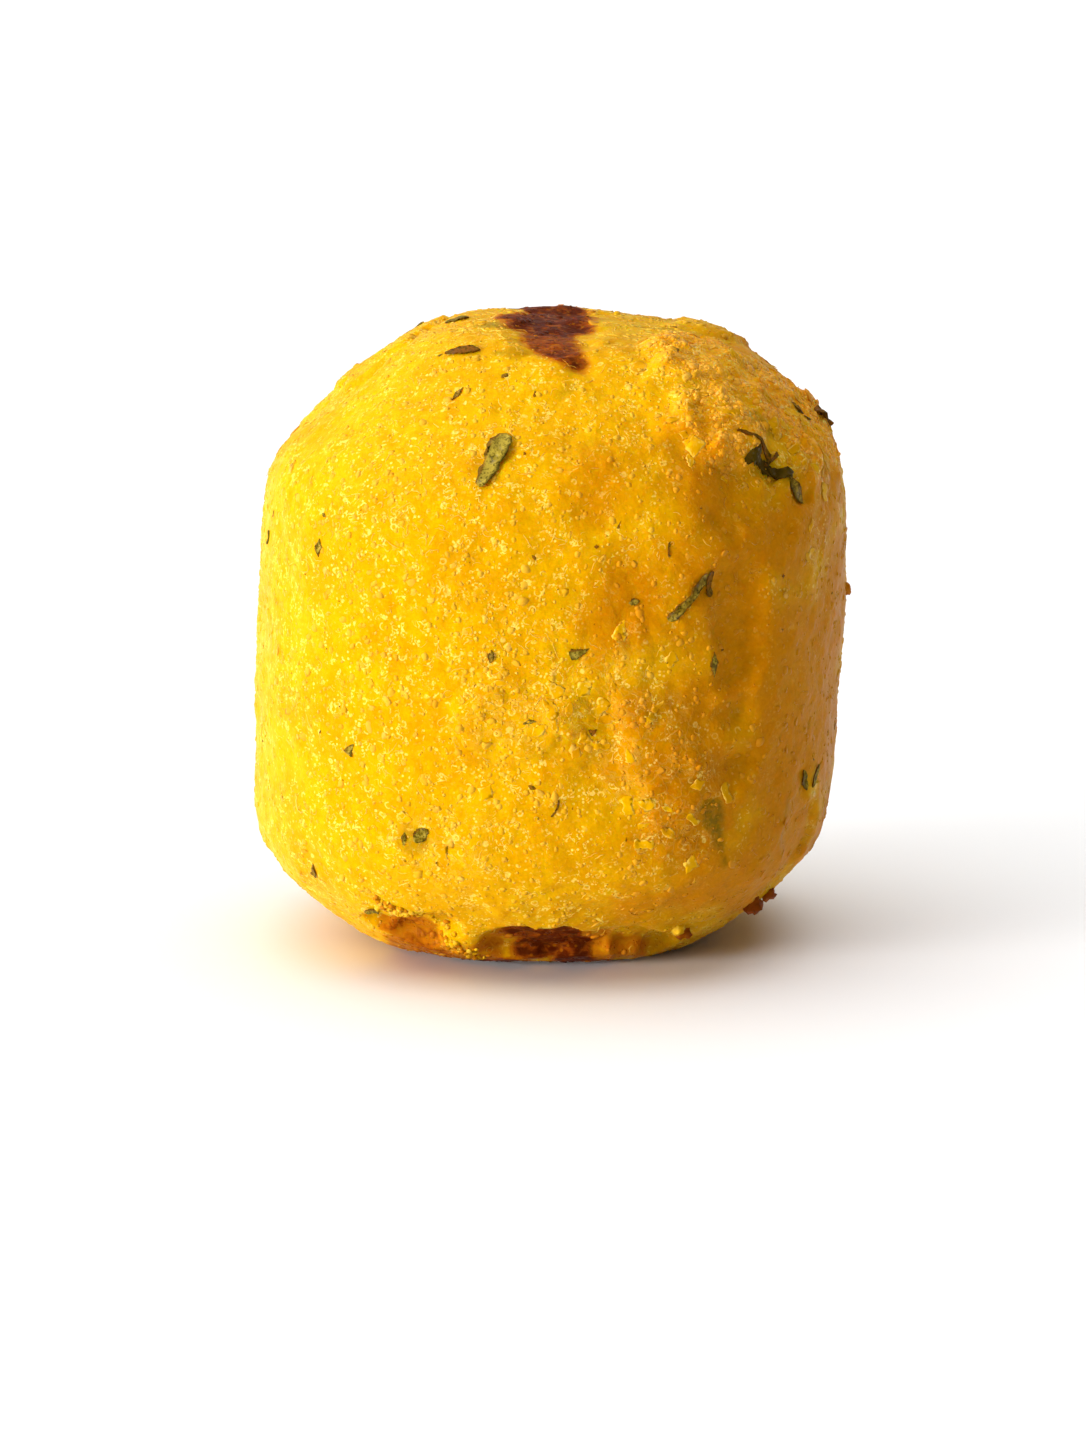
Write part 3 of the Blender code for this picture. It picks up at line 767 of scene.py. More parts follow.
def fleck_surface(flecks, stations, sides, seed, curl):
    """Herb flecks that lie along the skin.

    A fleck's point has a run along its heading and a turn round its section. Across, it is the
    outline's half width times the turn's cosine, torn a little at the edge, and the middle line
    bends aside. Over the skin it is the turn's sine times a share of how proud it stands, plus
    a wave along it and a curl that grows with the square of the way to the edge.
    """
    values = np.random.RandomState(seed)
    run = (np.arange(stations)[:, None] + 0.5) / stations
    turn = 2 * math.pi * np.arange(sides)[None, :] / sides
    ring_points, ends = [], []
    for fleck in flecks:
        middle, along, across = fleck_axes(fleck)
        torn = 1 + values.uniform(-FLECK_TORN, FLECK_TORN, (stations, sides))
        outline = outline_of(fleck.outline, run)
        bend = values.uniform(-FLECK_BEND, FLECK_BEND) * fleck.length
        bend = bend * (4 * (run - 0.5) ** 2 - 0.33)
        aside = outline * fleck.width / 2 * np.cos(turn) * torn + bend
        forward = (run - 0.5) * fleck.length * np.ones_like(turn)
        wave = 0.25 * np.sin(2 * math.pi * (run * values.uniform(0.8, 1.6) + values.uniform()))
        bowl = curl * np.cos(turn) ** 2 * outline
        thick = fleck.proud * (0.30 * np.sin(turn) + 0.20 + bowl + wave)
        towards = from_core(middle + along * forward[..., None] + across * aside[..., None])
        ring_points.append(skin(towards) + towards * thick[..., None])
        reach = np.array([[-0.5], [0.5]]) * fleck.length
        tip_towards = from_core(middle + along * reach + across * bend[[0, -1]])
        ends.append(skin(tip_towards) + tip_towards * 0.3 * fleck.proud)
    points = tube_points(np.array(ring_points), np.array(ends), FLECK_LOWEST)
    side = np.append((np.cos(turn) * np.ones_like(run)).ravel(), (0, 0))
    brown = np.array([fleck.brown for fleck in flecks])
    return points, tube_faces(len(flecks), stations, sides), {
        "herb_brown": each_point(brown, stations, sides),
        "herb_side": np.tile(side, len(flecks)),
    }


def turned_through(names, number):
    """The name whose turn it is at a number, in a row that starts again after its last one."""
    return names[number % len(names)]


def meal_flakes():
    """Thin torn flakes of meal, most of them in the crag and in the flaky parts of the skin."""
    spots = (*CRAG.spots, *CRAG.spots, *FLAKY_SPOTS)
    flakes_made = []
    for number, row in enumerate(drawn(*MEAL_FLAKES)):
        share, out, turn, length, slimness, heading, proud, brown = row
        azimuth, lift, radius = spots[int(share * len(spots))]
        reach = math.degrees(radius / HALF_WIDTH) * out ** 0.5
        azimuth += reach * math.cos(turn) / max(math.cos(math.radians(lift)), 0.3)
        lift += reach * math.sin(turn)
        flakes_made.append(Fleck(
            azimuth, lift, length, length * slimness, heading, proud,
            turned_through(OUTLINES, number), brown))
    return flakes_made


def far_flecks():
    """Herb flecks for the sides that are out of view, as the solid has them."""
    return [
        Fleck(*row, turned_through(OUTLINES, number), (number * FAR_FLECK_BROWN_STEP) % 1)
        for number, row in enumerate(drawn(*FAR_FLECKS))]


def small_flecks():
    """Specks of herb and bran all over, a fraction of a millimetre long."""
    flecks = []
    for number, (azimuth, rise, size, slimness, heading, brown) in enumerate(drawn(*SPECKS)):
        length = SPECK_SHORTEST + SPECK_LONGER * size ** 3
        flecks.append(Fleck(
            azimuth, math.degrees(math.asin(rise)), length, length * slimness, heading,
            SPECK_PROUD, turned_through(SPECK_OUTLINES, number), brown))
    return flecks


# Shader expressions

def math_node(operation):
    """A method that adds the Math node of an operation and gives its output."""
    def method(self, *others):
        made = self.nodes.add("ShaderNodeMath", {"operation": operation})
        for slot, value in enumerate((self, *others)):
            made.feed(slot, value)
        return made.out(0)

    return method


class Value:
    """A shader socket that works in plain expressions: each one adds its Math node."""

    def __init__(self, nodes, socket):
        self.nodes = nodes
        self.socket = socket

    __add__ = __radd__ = math_node("ADD")
    __mul__ = __rmul__ = math_node("MULTIPLY")
    __sub__ = math_node("SUBTRACT")
    __pow__ = math_node("POWER")
    __abs__ = math_node("ABSOLUTE")
    lowest = math_node("MINIMUM")
    highest = math_node("MAXIMUM")

    def __rsub__(self, other):
        return self * -1.0 + other

    def between(self, low, high):
        """0 below low, 1 above high, and a soft step from one to the other."""
        settings = {"interpolation_type": "SMOOTHSTEP"}
        made = self.nodes.add("ShaderNodeMapRange", settings)
        made.feed("Value", self)
        made.feed("From Min", low)
        made.feed("From Max", high)
        return made.out(0)


class Node:
    """A shader node whose inputs are fed with numbers, colours or other sockets."""

    def __init__(self, nodes, node):
        self.nodes = nodes
        self.node = node

    def feed(self, slot, value):
        socket = self.find(self.node.inputs, slot)
        if isinstance(value, Value):
            self.nodes.tree.links.new(value.socket, socket)
        else:
            socket.default_value = value

    def out(self, slot):
        return Value(self.nodes, self.find(self.node.outputs, slot))

    def find(self, sockets, slot):
        """The socket with an identifier, or else with a name or a number."""
        names = [socket.identifier for socket in sockets]
        return sockets[names.index(slot)] if slot in names else sockets[slot]


class Nodes:
    """The nodes of one material."""

    def __init__(self, name):
        self.material = bpy.data.materials.new(name)
        self.material.use_nodes = True
        self.tree = self.material.node_tree
        self.shader = Node(self, self.tree.nodes["Principled BSDF"])

    def add(self, kind, settings=None, inputs=None):
        made = self.tree.nodes.new(kind)
        for name, value in (settings or {}).items():
            setattr(made, name, value)
        node = Node(self, made)
        for slot, value in (inputs or {}).items():
            node.feed(slot, value)
        return node

    def attribute(self, name):
        """A value stored at the mesh's points."""
        return self.add("ShaderNodeAttribute", {"attribute_name": name}).out("Fac")

    def place(self, stretch=(1, 1, 1)):
        """Object coordinates in millimetres, stretched along the axes."""
        spot = self.add("ShaderNodeTexCoord").out("Object")
        scale = tuple(1 / MM * share for share in stretch)
        mapping = self.add("ShaderNodeMapping", inputs={"Vector": spot, "Scale": scale})
        return mapping.out("Vector")

    def noise(self, place, cell, detail=2.0, warp=0.0):
        """Smooth noise from 0 to 1 whose lumps are about a cell wide."""
        inputs = {"Vector": place, "Scale": 1 / cell, "Detail": detail, "Distortion": warp}
        return self.add("ShaderNodeTexNoise", inputs=inputs).out("Fac")

    def dots(self, place, cell):
        """Distance to the nearest of points that lie about a cell apart, and a random value."""
        inputs = {"Vector": place, "Scale": 1 / cell}
        made = self.add("ShaderNodeTexVoronoi", inputs=inputs)
        return made.out("Distance"), made.out("Color")

    def blend(self, share, first, second):
        """A colour between two: the first at 0 and the second at 1."""
        inputs = {"Factor_Float": share, "A_Color": first, "B_Color": second}
        return self.add("ShaderNodeMix", {"data_type": "RGBA"}, inputs).out("Result_Color")

    def scaled(self, base, share):
        """A colour made darker or brighter by a share of itself."""
        inputs = {0: base, "Scale": share}
        return self.add("ShaderNodeVectorMath", {"operation": "SCALE"}, inputs).out("Vector")

    def surface(self, base, roughness, height=None, distance=0.0):
        """Feed a colour and a roughness, and a bump of 0 to 1 that stands for millimetres."""
        self.shader.feed("Base Color", base)
        self.shader.feed("Roughness", roughness)
        if height is not None:
            inputs = {"Height": height, "Distance": distance * MM, "Strength": 1.0}
            bump = self.add("ShaderNodeBump", inputs=inputs)
            self.shader.feed("Normal", bump.out("Normal"))

    def wet(self, level, coat):
        """Reflections of a thin film of oil, tinted by the meal under it, and clear drops."""
        self.shader.feed("IOR", OIL_INDEX)
        self.shader.feed("Specular IOR Level", level)
        self.shader.feed("Specular Tint", OIL_TINT)
        self.shader.feed("Coat Weight", coat)
        self.shader.feed("Coat IOR", WET_INDEX)
        self.shader.feed("Coat Roughness", WET_ROUGHNESS)


def palette(group):
    """The sidebar's colours by name, each as red, green, blue and alpha."""
    names = FritterColours.__annotations__
    return SimpleNamespace(**{name: (*getattr(group, name), 1.0) for name in names})


def threads(nodes, place, cell, width, warp):
    """Thin crooked lines, 1 on a line and 0 off it: where noise crosses its middle value."""
    wave = nodes.noise(place, cell, detail=1.5, warp=warp)
    return 1 - abs(wave - 0.5).between(0.0, width)


def flakes(nodes, place, cell):
    """Thin plates about a cell wide: the height of each one, and a line along their edges."""
    inputs = {"Vector": place, "Scale": 1.4, "Detail": 4.0}
    bend = nodes.add("ShaderNodeTexNoise", inputs=inputs)
    shift = nodes.add("ShaderNodeVectorMath", {"operation": "MULTIPLY_ADD"})
    shift.feed(0, bend.out("Color"))
    shift.feed(1, (cell, cell, cell))
    shift.feed(2, place)
    bent = shift.out("Vector")
    height = nodes.dots(bent, cell)[1]
    inputs = {"Vector": bent, "Scale": 1 / cell}
    borders = nodes.add("ShaderNodeTexVoronoi", {"feature": "DISTANCE_TO_EDGE"}, inputs)
    return height, 1 - borders.out("Distance").between(0.0, 0.07 / cell)


def wet_glints(nodes, place):
    """Where clear drops and rims catch the light: dots, small rings and short crooked lines.

    Dots and rings lie round the points of cells, some of them left out at random. All of them
    gather in clusters, which smooth noise marks out.
    """
    near, chance = nodes.dots(place, 0.27)
    cluster = nodes.noise(place, 1.1, detail=2).between(0.44, 0.60)
    small = (1 - near.between(0.20, 0.36)) * chance.between(0.50, 0.52) * (cluster * 0.8 + 0.12)
    far, pick = nodes.dots(place, 0.62)
    large = (1 - far.between(0.10, 0.20)) * pick.between(0.80, 0.82)
    bend = nodes.noise(place, 0.35, detail=1)
    hoop = 1 - abs(far + bend * 0.24 - 0.42).between(0.02, 0.11)
    rings = hoop * pick.between(0.30, 0.32) * (1 - pick.between(0.52, 0.54))
    broken = nodes.noise(place, 0.5, detail=1).between(0.50, 0.58)
    lines = threads(nodes, place, 0.42, 0.050, 0.8) * broken * cluster
    found = small.highest(large).highest(rings * broken * 0.8).highest(lines)
    return found.lowest(1.0)


def browned_colour(nodes, share, colours, base):
    """Base colour turned golden, then red-brown, then dark as the browned share grows."""
    golden = nodes.blend(share.between(0.10, 0.42), base, colours.golden)
    brown = nodes.blend(share.between(0.42, 0.72), golden, colours.brown)
    return nodes.blend(share.between(0.74, 1.0), brown, colours.dark)


def meal_colour(nodes, place, colours):
    """Moist cornmeal, yellow and deeper in wide clouds and fine mottles, and the mottles."""
    wide = nodes.noise(place, 5.0, detail=3)
    fine = nodes.noise(place, 0.9, detail=4)
    deep = (wide * 0.55 + fine * 0.45).between(0.40, 0.62)
    return nodes.blend(deep, colours.yellow, colours.deep_yellow), fine


def zone_colour(nodes, base, colours):
    """Orange-brown painted shade on the skin's shaded side, and a brighter orange in the crag.
    """
    base = nodes.blend(nodes.attribute("amber") * 0.85, base, colours.amber)
    # The crag's orange is real, but made brighter than the meal as painted light on its upturned
    # face
    return nodes.blend(nodes.attribute("crag") * 0.42, base, colours.crag)


def skin_material(colours):
    """Fried cornmeal: yellow, wet, browned in places, with glints and flake edges as painted
    highlights.
    """
    nodes = Nodes("cornmeal_skin")
    place = nodes.place()
    base, fine = meal_colour(nodes, place, colours)
    grit = nodes.noise(place, 0.24, detail=2)
    crumpled = nodes.noise(place, 0.55, detail=3, warp=0.6)
    crag = nodes.attribute("crag")
    flaky = (nodes.attribute("flaky") * 0.9 + crag).lowest(1.0)

    plate, ledge = flakes(nodes, place, 2.6)
    small_plate, small_ledge = flakes(nodes, place, 0.9)
    edges = (ledge * (flaky * 0.5 + 0.08)).highest(small_ledge * flaky * 0.4)
    # Painted glints are cut back under the painted shade, away from the side light
    clear = nodes.attribute("amber") * (1 - flaky)
    glints = wet_glints(nodes, place) * (1 - clear * 0.8)
    # Painted highlights: the glints, and partly the flake edges, are painted pale in the base
    # colour
    pale = (glints * (crag * 0.3 + 0.52)).highest(edges * 0.22)
    base = nodes.blend(pale, zone_colour(nodes, base, colours), colours.pale)
    base = nodes.scaled(base, 0.82 + grit * 0.36)
    deep = crag * (small_plate.between(0.45, 0.85) * 0.4 + crumpled.between(0.50, 0.68) * 0.4)
    base = nodes.blend(deep * 0.95, base, colours.golden)

    stain = nodes.attribute("stain") * (0.55 + grit.between(0.35, 0.60) * 0.45)
    base = nodes.blend(stain, base, colours.stain)

    fibre = nodes.noise(nodes.place((0.35, 1.0, 1.0)), 0.45, detail=3)
    uneven = (fibre - 0.5) * 0.9 + (crumpled - 0.5) * 1.2
    share = nodes.attribute("browned") * (1 + uneven)
    base = browned_colour(nodes, share, colours, base)
    golden_bits = (1 - nodes.dots(place, 0.5)[0].between(0.16, 0.26)) * share.between(0.5, 0.7)
    base = nodes.blend(golden_bits * 0.35, base, colours.golden)

    height = fine * 0.8 + grit * 0.5 + crumpled * 1.0 + edges * 0.4
    height = height + fibre * share.between(0.4, 0.8) * 2.4
    height = height + (plate * 2.0 + small_plate * 1.2) * (flaky + 0.10)
    nodes.surface(base, 0.34 + fine * 0.22, height, 0.05)
    nodes.wet(0.06, glints.highest(edges * 0.6) * (crag * 0.6 + 0.35))
    nodes.shader.feed("Subsurface Weight", SKIN_CLEAR)
    nodes.shader.feed("Subsurface Scale", SKIN_REACH * MM)
    nodes.shader.feed("Subsurface Radius", SKIN_REACH_SHARES)
    return nodes.material


def grain_material(kind, colours):
    """Meal grains: each one between the skin's yellow and the pale of dry meal."""
    nodes = Nodes(kind.name)
    base, spread = meal_colour(nodes, nodes.place(), colours)
    # Grains take the orange-brown painted shade of the shaded side, and turn pale less often
    # there
    base = nodes.blend(0.15, zone_colour(nodes, base, colours), colours.amber)
    amber = nodes.attribute("amber")
    light = (nodes.attribute("tone") * 0.75 + spread * 0.25) * kind.pale
    light = light * (1 - (nodes.attribute("crag") * (0.65 - kind.pale)).highest(amber * 0.7))
    base = nodes.blend(light, base, colours.pale)
    base = browned_colour(nodes, nodes.attribute("browned"), colours, base)
    nodes.surface(base, kind.roughness + spread * 0.12)
    nodes.wet(0.10, (1 - amber * 0.5) * kind.wet)
    return nodes.material


def herb_material(name, colours, depth):
    """Dried herb: olive green to brown with a paler middle and dark, uneven edges.

    Depth says how far it lies under the skin: the deeper, the nearer to the skin's yellow.
    """
    nodes = Nodes(name)
    place = nodes.place()
    mottle = nodes.noise(place, 0.30, detail=3)
    vein = nodes.noise(place, 0.14, detail=2)
    side = abs(nodes.attribute("herb_side"))
    brown = nodes.attribute("herb_brown")
    green = nodes.blend(mottle.between(0.35, 0.65), colours.herb, colours.herb_light)
    base = nodes.blend(brown.between(0.2, 0.9), green, colours.herb_brown)
    base = nodes.blend((brown * -1.0).between(0.0, 1.0), base, colours.herb_light)
    blotch = nodes.noise(place, 0.55, detail=4).between(0.44, 0.60)
    base = nodes.blend(blotch * 0.5, base, colours.herb)
    rim = nodes.attribute("herb_side").between(0.45, 0.9) * 0.8
    base = nodes.blend(rim, base, colours.herb_brown)
    dark = (side.between(0.7, 1.0) * 0.4).highest(vein.between(0.50, 0.66) * 0.75)
    dark = dark.highest(brown.between(1.0, 2.0) * 0.85)
    base = nodes.blend(dark, base, colours.herb_dark)
    edge = (side ** 2 * depth + mottle * depth * 0.9).lowest(1.0)
    base = nodes.blend(edge, base, colours.yellow)
    nodes.surface(base, 0.42 + mottle * 0.2, vein * 0.6 + mottle * 0.4, 0.05)
    nodes.wet(0.10, wet_glints(nodes, place) * 0.6)
    return nodes.material


def flake_material(colours):
    """Thin flakes of meal: clear yellow to orange-brown, with rims and glints as painted
    highlights.
    """
    nodes = Nodes("flake_skin")
    place = nodes.place()
    base, fine = meal_colour(nodes, place, colours)
    base = nodes.blend(nodes.attribute("herb_brown") * 0.5, base, colours.amber)
    side = abs(nodes.attribute("herb_side"))
    # Painted highlight: the rims and glints are painted pale in the base colour
    rim = side.between(0.70, 1.0).highest(wet_glints(nodes, place))
    base = nodes.blend(rim * 0.25, base, colours.pale)
    nodes.surface(base, 0.32 + fine * 0.2, fine, 0.06)
    nodes.wet(0.06, rim * 0.3)
    return nodes.material


def crumb_material(colours):
    """Crumbs of meal, from pale to fried brown."""
    nodes = Nodes("crumb_skin")
    place = nodes.place()
    fine = nodes.noise(place, 0.35, detail=3)
    base = nodes.blend(fine.between(0.4, 0.7) * 0.25, colours.yellow, colours.pale)
    share = nodes.attribute("browned") * (0.75 + fine * 0.5)
    base = browned_colour(nodes, share, colours, base)
    nodes.surface(base, 0.34 + fine * 0.2, fine, 0.08)
    nodes.wet(0.10, wet_glints(nodes, place) * 0.3)
    return nodes.material


# Add-on

def colour_property(name, description, default):
    """A linear colour that can be changed in the sidebar."""
    return FloatVectorProperty(
        name=name, description=description, default=default, size=3, min=0.0, max=1.0,
        subtype="COLOR")


def count_property(name, description, default, highest, lowest=0):
    """A number of things that can be changed in the sidebar."""
    return IntProperty(
        name=name, description=description, default=default, min=lowest, max=highest)


def length_property(name, description, default):
    """A length in metres that can be changed in the sidebar."""
    return FloatProperty(
        name=name, description=description, default=default, unit="LENGTH", precision=5)


def strength_property(name, description, default):
    """The strength of a light that can be changed in the sidebar."""
    return FloatProperty(name=name, description=description, default=default)


def angle_property(name, description, degrees):
    """An angle that can be changed in the sidebar, with its default in degrees."""
    return FloatProperty(
        name=name, description=description, default=math.radians(degrees), subtype="ANGLE")


class FritterColours(bpy.types.PropertyGroup):
    """Colours of the cornmeal, its browned skin and the herbs."""

    yellow: colour_property("Cornmeal", "Moist cornmeal in full light", (0.65, 0.340, 0.0004))
    deep_yellow: colour_property(
        "Deep cornmeal", "Wetter, clearer cornmeal", (0.60, 0.280, 0.0003))
    # Dry meal, also painted on the skin and flakes as the pale of glints and rims, a painted
    # highlight
    pale: colour_property("Dry meal", "Dry films, threads and grains", (0.95, 0.80, 0.17))
    # Clear orange-brown meal, also laid on the skin's shaded side as painted shade
    amber: colour_property("Amber skin", "Clear, smooth cornmeal", (0.49, 0.165, 0.0002))
    # Orange of the crag's grains, made brighter as painted light on the crag, which faces up and
    # right
    crag: colour_property("Crumbly skin", "Thick clear grains", (0.97, 0.385, 0.0010))
    golden: colour_property("Golden skin", "Lightly fried skin", (0.46, 0.150, 0.002))
    brown: colour_property("Browned skin", "Fried skin", (0.24, 0.048, 0.002))
    dark: colour_property("Dark skin", "Strongly fried skin", (0.085, 0.011, 0.001))
    herb: colour_property("Herb", "Dried green herb", (0.112, 0.072, 0.003))
    herb_light: colour_property("Light herb", "Paler side of the herb", (0.36, 0.26, 0.030))
    herb_brown: colour_property("Brown herb", "Stems and browned herb", (0.18, 0.058, 0.004))
    stain: colour_property("Stain", "Cornmeal over a sunken herb", (0.19, 0.110, 0.002))
    herb_dark: colour_property(
        "Dark herb", "Edges and veins of the herb", (0.030, 0.022, 0.001))


class FritterSizes(bpy.types.PropertyGroup):
    """How fine the skin is and how many small things lie on it."""

    skin_cells: count_property(
        "Skin cells", "Cells of the skin along one edge of its grid", 122, 128, 20)
    fine_grains: count_property("Fine grains", "Number of fine meal grains", 7000, 9900)
    fine_grains_size: length_property(
        "Fine grain size", "Middle radius of a fine meal grain", 0.000075)
    clear_grains: count_property("Clear grains", "Number of clear meal grains", 1100, 3000)
    clear_grains_size: length_property(
        "Clear grain size", "Middle radius of a clear meal grain", 0.00017)
    films: count_property("Films", "Number of thin films of dried meal", 1600, 3600)
    films_size: length_property("Film size", "Middle radius of a film", 0.00019)
    skin_lumps: count_property(
        "Skin lumps", "Number of meal grains that show in the outline", 4000, 5500)
    skin_lumps_size: length_property(
        "Skin lump size", "Middle radius of such a grain", 0.00016)
    crag_grains: count_property(
        "Crag grains", "Number of large clear grains in the crag", 600, 2700)
    crag_grains_size: length_property(
        "Crag grain size", "Middle radius of a large clear grain", 0.00020)
    curls: count_property("Curls", "Number of thin pale threads on the skin", 3500, 4700)
    curls_size: length_property("Curl length", "Middle length of a thread", 0.00055)


class StageLights(bpy.types.PropertyGroup):
    """Strengths and directions of the soft studio light."""

    side_strength: strength_property("Side light", "Strength of the light on the left", 8.3)
    side_elevation: angle_property(
        "Side elevation", "Height of the side light over the horizon", 1.5)
    side_azimuth: angle_property(
        "Side azimuth", "How far the side light is turned left of the camera", 60.5)
    top_strength: strength_property("Top light", "Strength of the wide light overhead", 3.1)
    top_elevation: angle_property(
        "Top elevation", "Height of the top light over the horizon", 79)
    top_azimuth: angle_property(
        "Top azimuth", "How far the top light is turned left of the camera", 115)
    sheen_strength: strength_property(
        "Sheen", "Strength of the wide light that wet meal reflects", 1.1)
    gleam_strength: strength_property(
        "Gleam", "Strength of the side light that wet meal reflects", 3.5)
    room_strength: strength_property("Room", "Strength of the light from all round", 0.09)
    floor: colour_property("Floor", "Colour of the floor", (0.93, 0.93, 0.93))


class FRITTER_OT_body(bpy.types.Operator):
    """Add the fritter's body with its fine skin, in place of the solid"""

    bl_idname = "fritter.add_body"
    bl_label = "Body"

    def execute(self, context):
        scene = context.scene
        points, quads, found = body_surface(scene.fritter_sizes.skin_cells)
        material = skin_material(palette(scene.fritter_colours))
        body = add_piece("cornmeal_body", points, quads, material, found)
        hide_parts(NODE)
        return {"FINISHED"}


def gathering(kind, clusters, from_amber, most, from_browned):
    """How likely a small thing of a kind is at each place.

    It is the share of clusters of noise there, times the kind's weights of the plain, craggy
    and flaky skin, less by the shares that keep it from the amber and the browned skin.
    """
    cell, contrast, middle_share = clusters

    def weigh(middle, found):
        cluster = noise(middle, cell, kind.seed + 1) * contrast + middle_share
        rough = kind.plain + kind.crag * found["crag"] + kind.flaky * found["flaky"]
        rough = rough * (1 - from_amber * found["amber"])
        return (kind.even + smooth(cluster)) * rough * (most - from_browned * found["browned"])

    return weigh


def add_small_things(kind, points, faces, material, found, browned, tones):
    """Add small things of a kind as one piece that carries the zones and the tone of each."""
    values = {"amber": found["amber"], "crag": found["crag"], "browned": browned, "tone": tones}
    values = {name: each_point(value, kind.rings, kind.sides) for name, value in values.items()}
    add_piece(kind.name, points, faces, material, values, shades=False)


class FRITTER_OT_grains(bpy.types.Operator):
    """Add the meal grains and the thin films of dried meal that stand out of the skin"""

    bl_idname = "fritter.add_grains"
    bl_label = "Meal grains"

    def execute(self, context):
        sizes, colours = context.scene.fritter_sizes, palette(context.scene.fritter_colours)
        for kind in GRAIN_KINDS:
            count = getattr(sizes, kind.name)
            size = getattr(sizes, kind.name + "_size") / MM
            weigh = gathering(kind, GRAIN_CLUSTERS, kind.pale * 2, 1, 0.5)
            (places, outward, along, across), found = scattered(
                sizes.skin_cells, count, kind.seed, weigh)
            values = np.random.RandomState(kind.seed + 2)
            radii = size * values.lognormal(sigma=0.30, size=count)
            tilt = np.radians(values.uniform(0, kind.tilt, (count, 1)))
            leaning = np.cos(tilt) * outward + np.sin(tilt) * along
            lying = np.cos(tilt) * along - np.sin(tilt) * outward
            points, faces = grains(
                (places, leaning, lying, across), radii, kind.flatness, kind.sunk, kind.sides,
                kind.rings, kind.seed + 3)
            tones = values.uniform(size=count) ** 0.7
            add_small_things(
                kind, points, faces, grain_material(kind, colours), found, found["browned"],
                tones)
        return {"FINISHED"}


class FRITTER_OT_curls(bpy.types.Operator):
    """Add the thin pale threads that curl on the wet skin"""

    bl_idname = "fritter.add_curls"
    bl_label = "Wet curls"

    def execute(self, context):
        sizes, colours = context.scene.fritter_sizes, palette(context.scene.fritter_colours)
        kind, count = CURLS, sizes.curls
        weigh = gathering(kind, CURL_CLUSTERS, 0.7, 1.02, 1)
        frames, found = scattered(sizes.skin_cells, count, kind.seed, weigh)
        values = np.random.RandomState(kind.seed + 2)
        lengths = sizes.curls_size / MM * values.lognormal(sigma=0.45, size=count)
        widths = CURL_WIDTH * values.lognormal(sigma=0.25, size=count)
        loops = values.uniform(size=count) < LOOP_SHARE
        bends = np.where(loops, LOOP_BEND, values.normal(scale=1.8, size=count))
        points, faces = curls(frames, lengths, widths, bends, kind)
        add_small_things(
            kind, points, faces, grain_material(kind, colours), found, found["browned"] * 0.5,
            values.uniform(0.4, 1.0, count))
        return {"FINISHED"}


class FRITTER_OT_herbs(bpy.types.Operator):
    """Add the herb flecks on the skin, and those that show through it"""

    bl_idname = "fritter.add_herbs"
    bl_label = "Herb flecks"

    def execute(self, context):
        colours = palette(context.scene.fritter_colours)
        kinds = (
            ("herb_flecks", (*FLECKS, *far_flecks()), FLECK_FORM,
             herb_material("herb_flecks", colours, 0.0), True),
            ("herb_specks", small_flecks(), SPECK_FORM,
             herb_material("herb_specks", colours, SPECK_DEPTH), True),
            ("meal_flakes", meal_flakes(), FLAKE_FORM, flake_material(colours), False),
        )
        for name, flecks, form, material, shades in kinds:
            points, faces, values = fleck_surface(flecks, *form)
            add_piece(name, points, faces, material, values, shades)
        return {"FINISHED"}


class FRITTER_OT_crumbs(bpy.types.Operator):
    """Add the crumbs that cling to the foot and the sides"""

    bl_idname = "fritter.add_crumbs"
    bl_label = "Crumbs"

    def execute(self, context):
        scene = context.scene
        far = ((*row, FAR_CRUMB_BROWN) for row in drawn(*FAR_CRUMBS))
        azimuth, lift, radius, brown = np.transpose((*CRUMBS, *far))
        _, level, upward = tangent_frame(azimuth, lift)
        large = (skin(direction(azimuth, lift)), unit(np.cross(level, upward)), level, upward,
                 radius, brown)

        def weigh(middle, found):
            return cover(middle, LOOSE_CRUMB_SPOTS, 0.0, LOOSE_CRUMB_EDGE) + 1e-9

        frames, _ = scattered(
            scene.fritter_sizes.skin_cells, LOOSE_CRUMBS, LOOSE_CRUMB_SEED, weigh)
        values = np.random.RandomState(LOOSE_CRUMB_SEED + 2)
        low, high = LOOSE_CRUMB_RADII
        small = (*frames, low + (high - low) * values.uniform(size=LOOSE_CRUMBS) ** 2,
                 values.choice(LOOSE_CRUMB_BROWNS, LOOSE_CRUMBS))
        *frames, radii, brown = (np.concatenate(pair) for pair in zip(large, small))
        points, faces = grains(
            frames, radii, CRUMB_FLATNESS, CRUMB_SUNK, CRUMB_SIDES, CRUMB_RINGS, CRUMB_SEED)
        add_piece("crumbs", points, faces, crumb_material(palette(scene.fritter_colours)),
                  {"browned": each_point(brown, CRUMB_RINGS, CRUMB_SIDES)})
        return {"FINISHED"}


def add_sun(name, strength, azimuth_left, elevation, spread, glossy):
    """A distant light with soft edges, turned left of the camera and raised over the horizon.

    The spread is in degrees. It lights either the plain surfaces or only the reflections.
    """
    lamp = bpy.data.lights.new(name, "SUN")
    lamp.energy = strength
    lamp.angle = math.radians(spread)
    light = bpy.data.objects.new(name, lamp)
    light.visible_glossy = glossy
    light.visible_diffuse = not glossy
    light.visible_transmission = not glossy
    level = math.cos(elevation)
    towards = Vector((
        -math.sin(azimuth_left) * level, -math.cos(azimuth_left) * level, math.sin(elevation)))
    light.rotation_mode = "QUATERNION"
    light.rotation_quaternion = towards.to_track_quat("Z", "Y")
    bpy.context.scene.collection.objects.link(light)


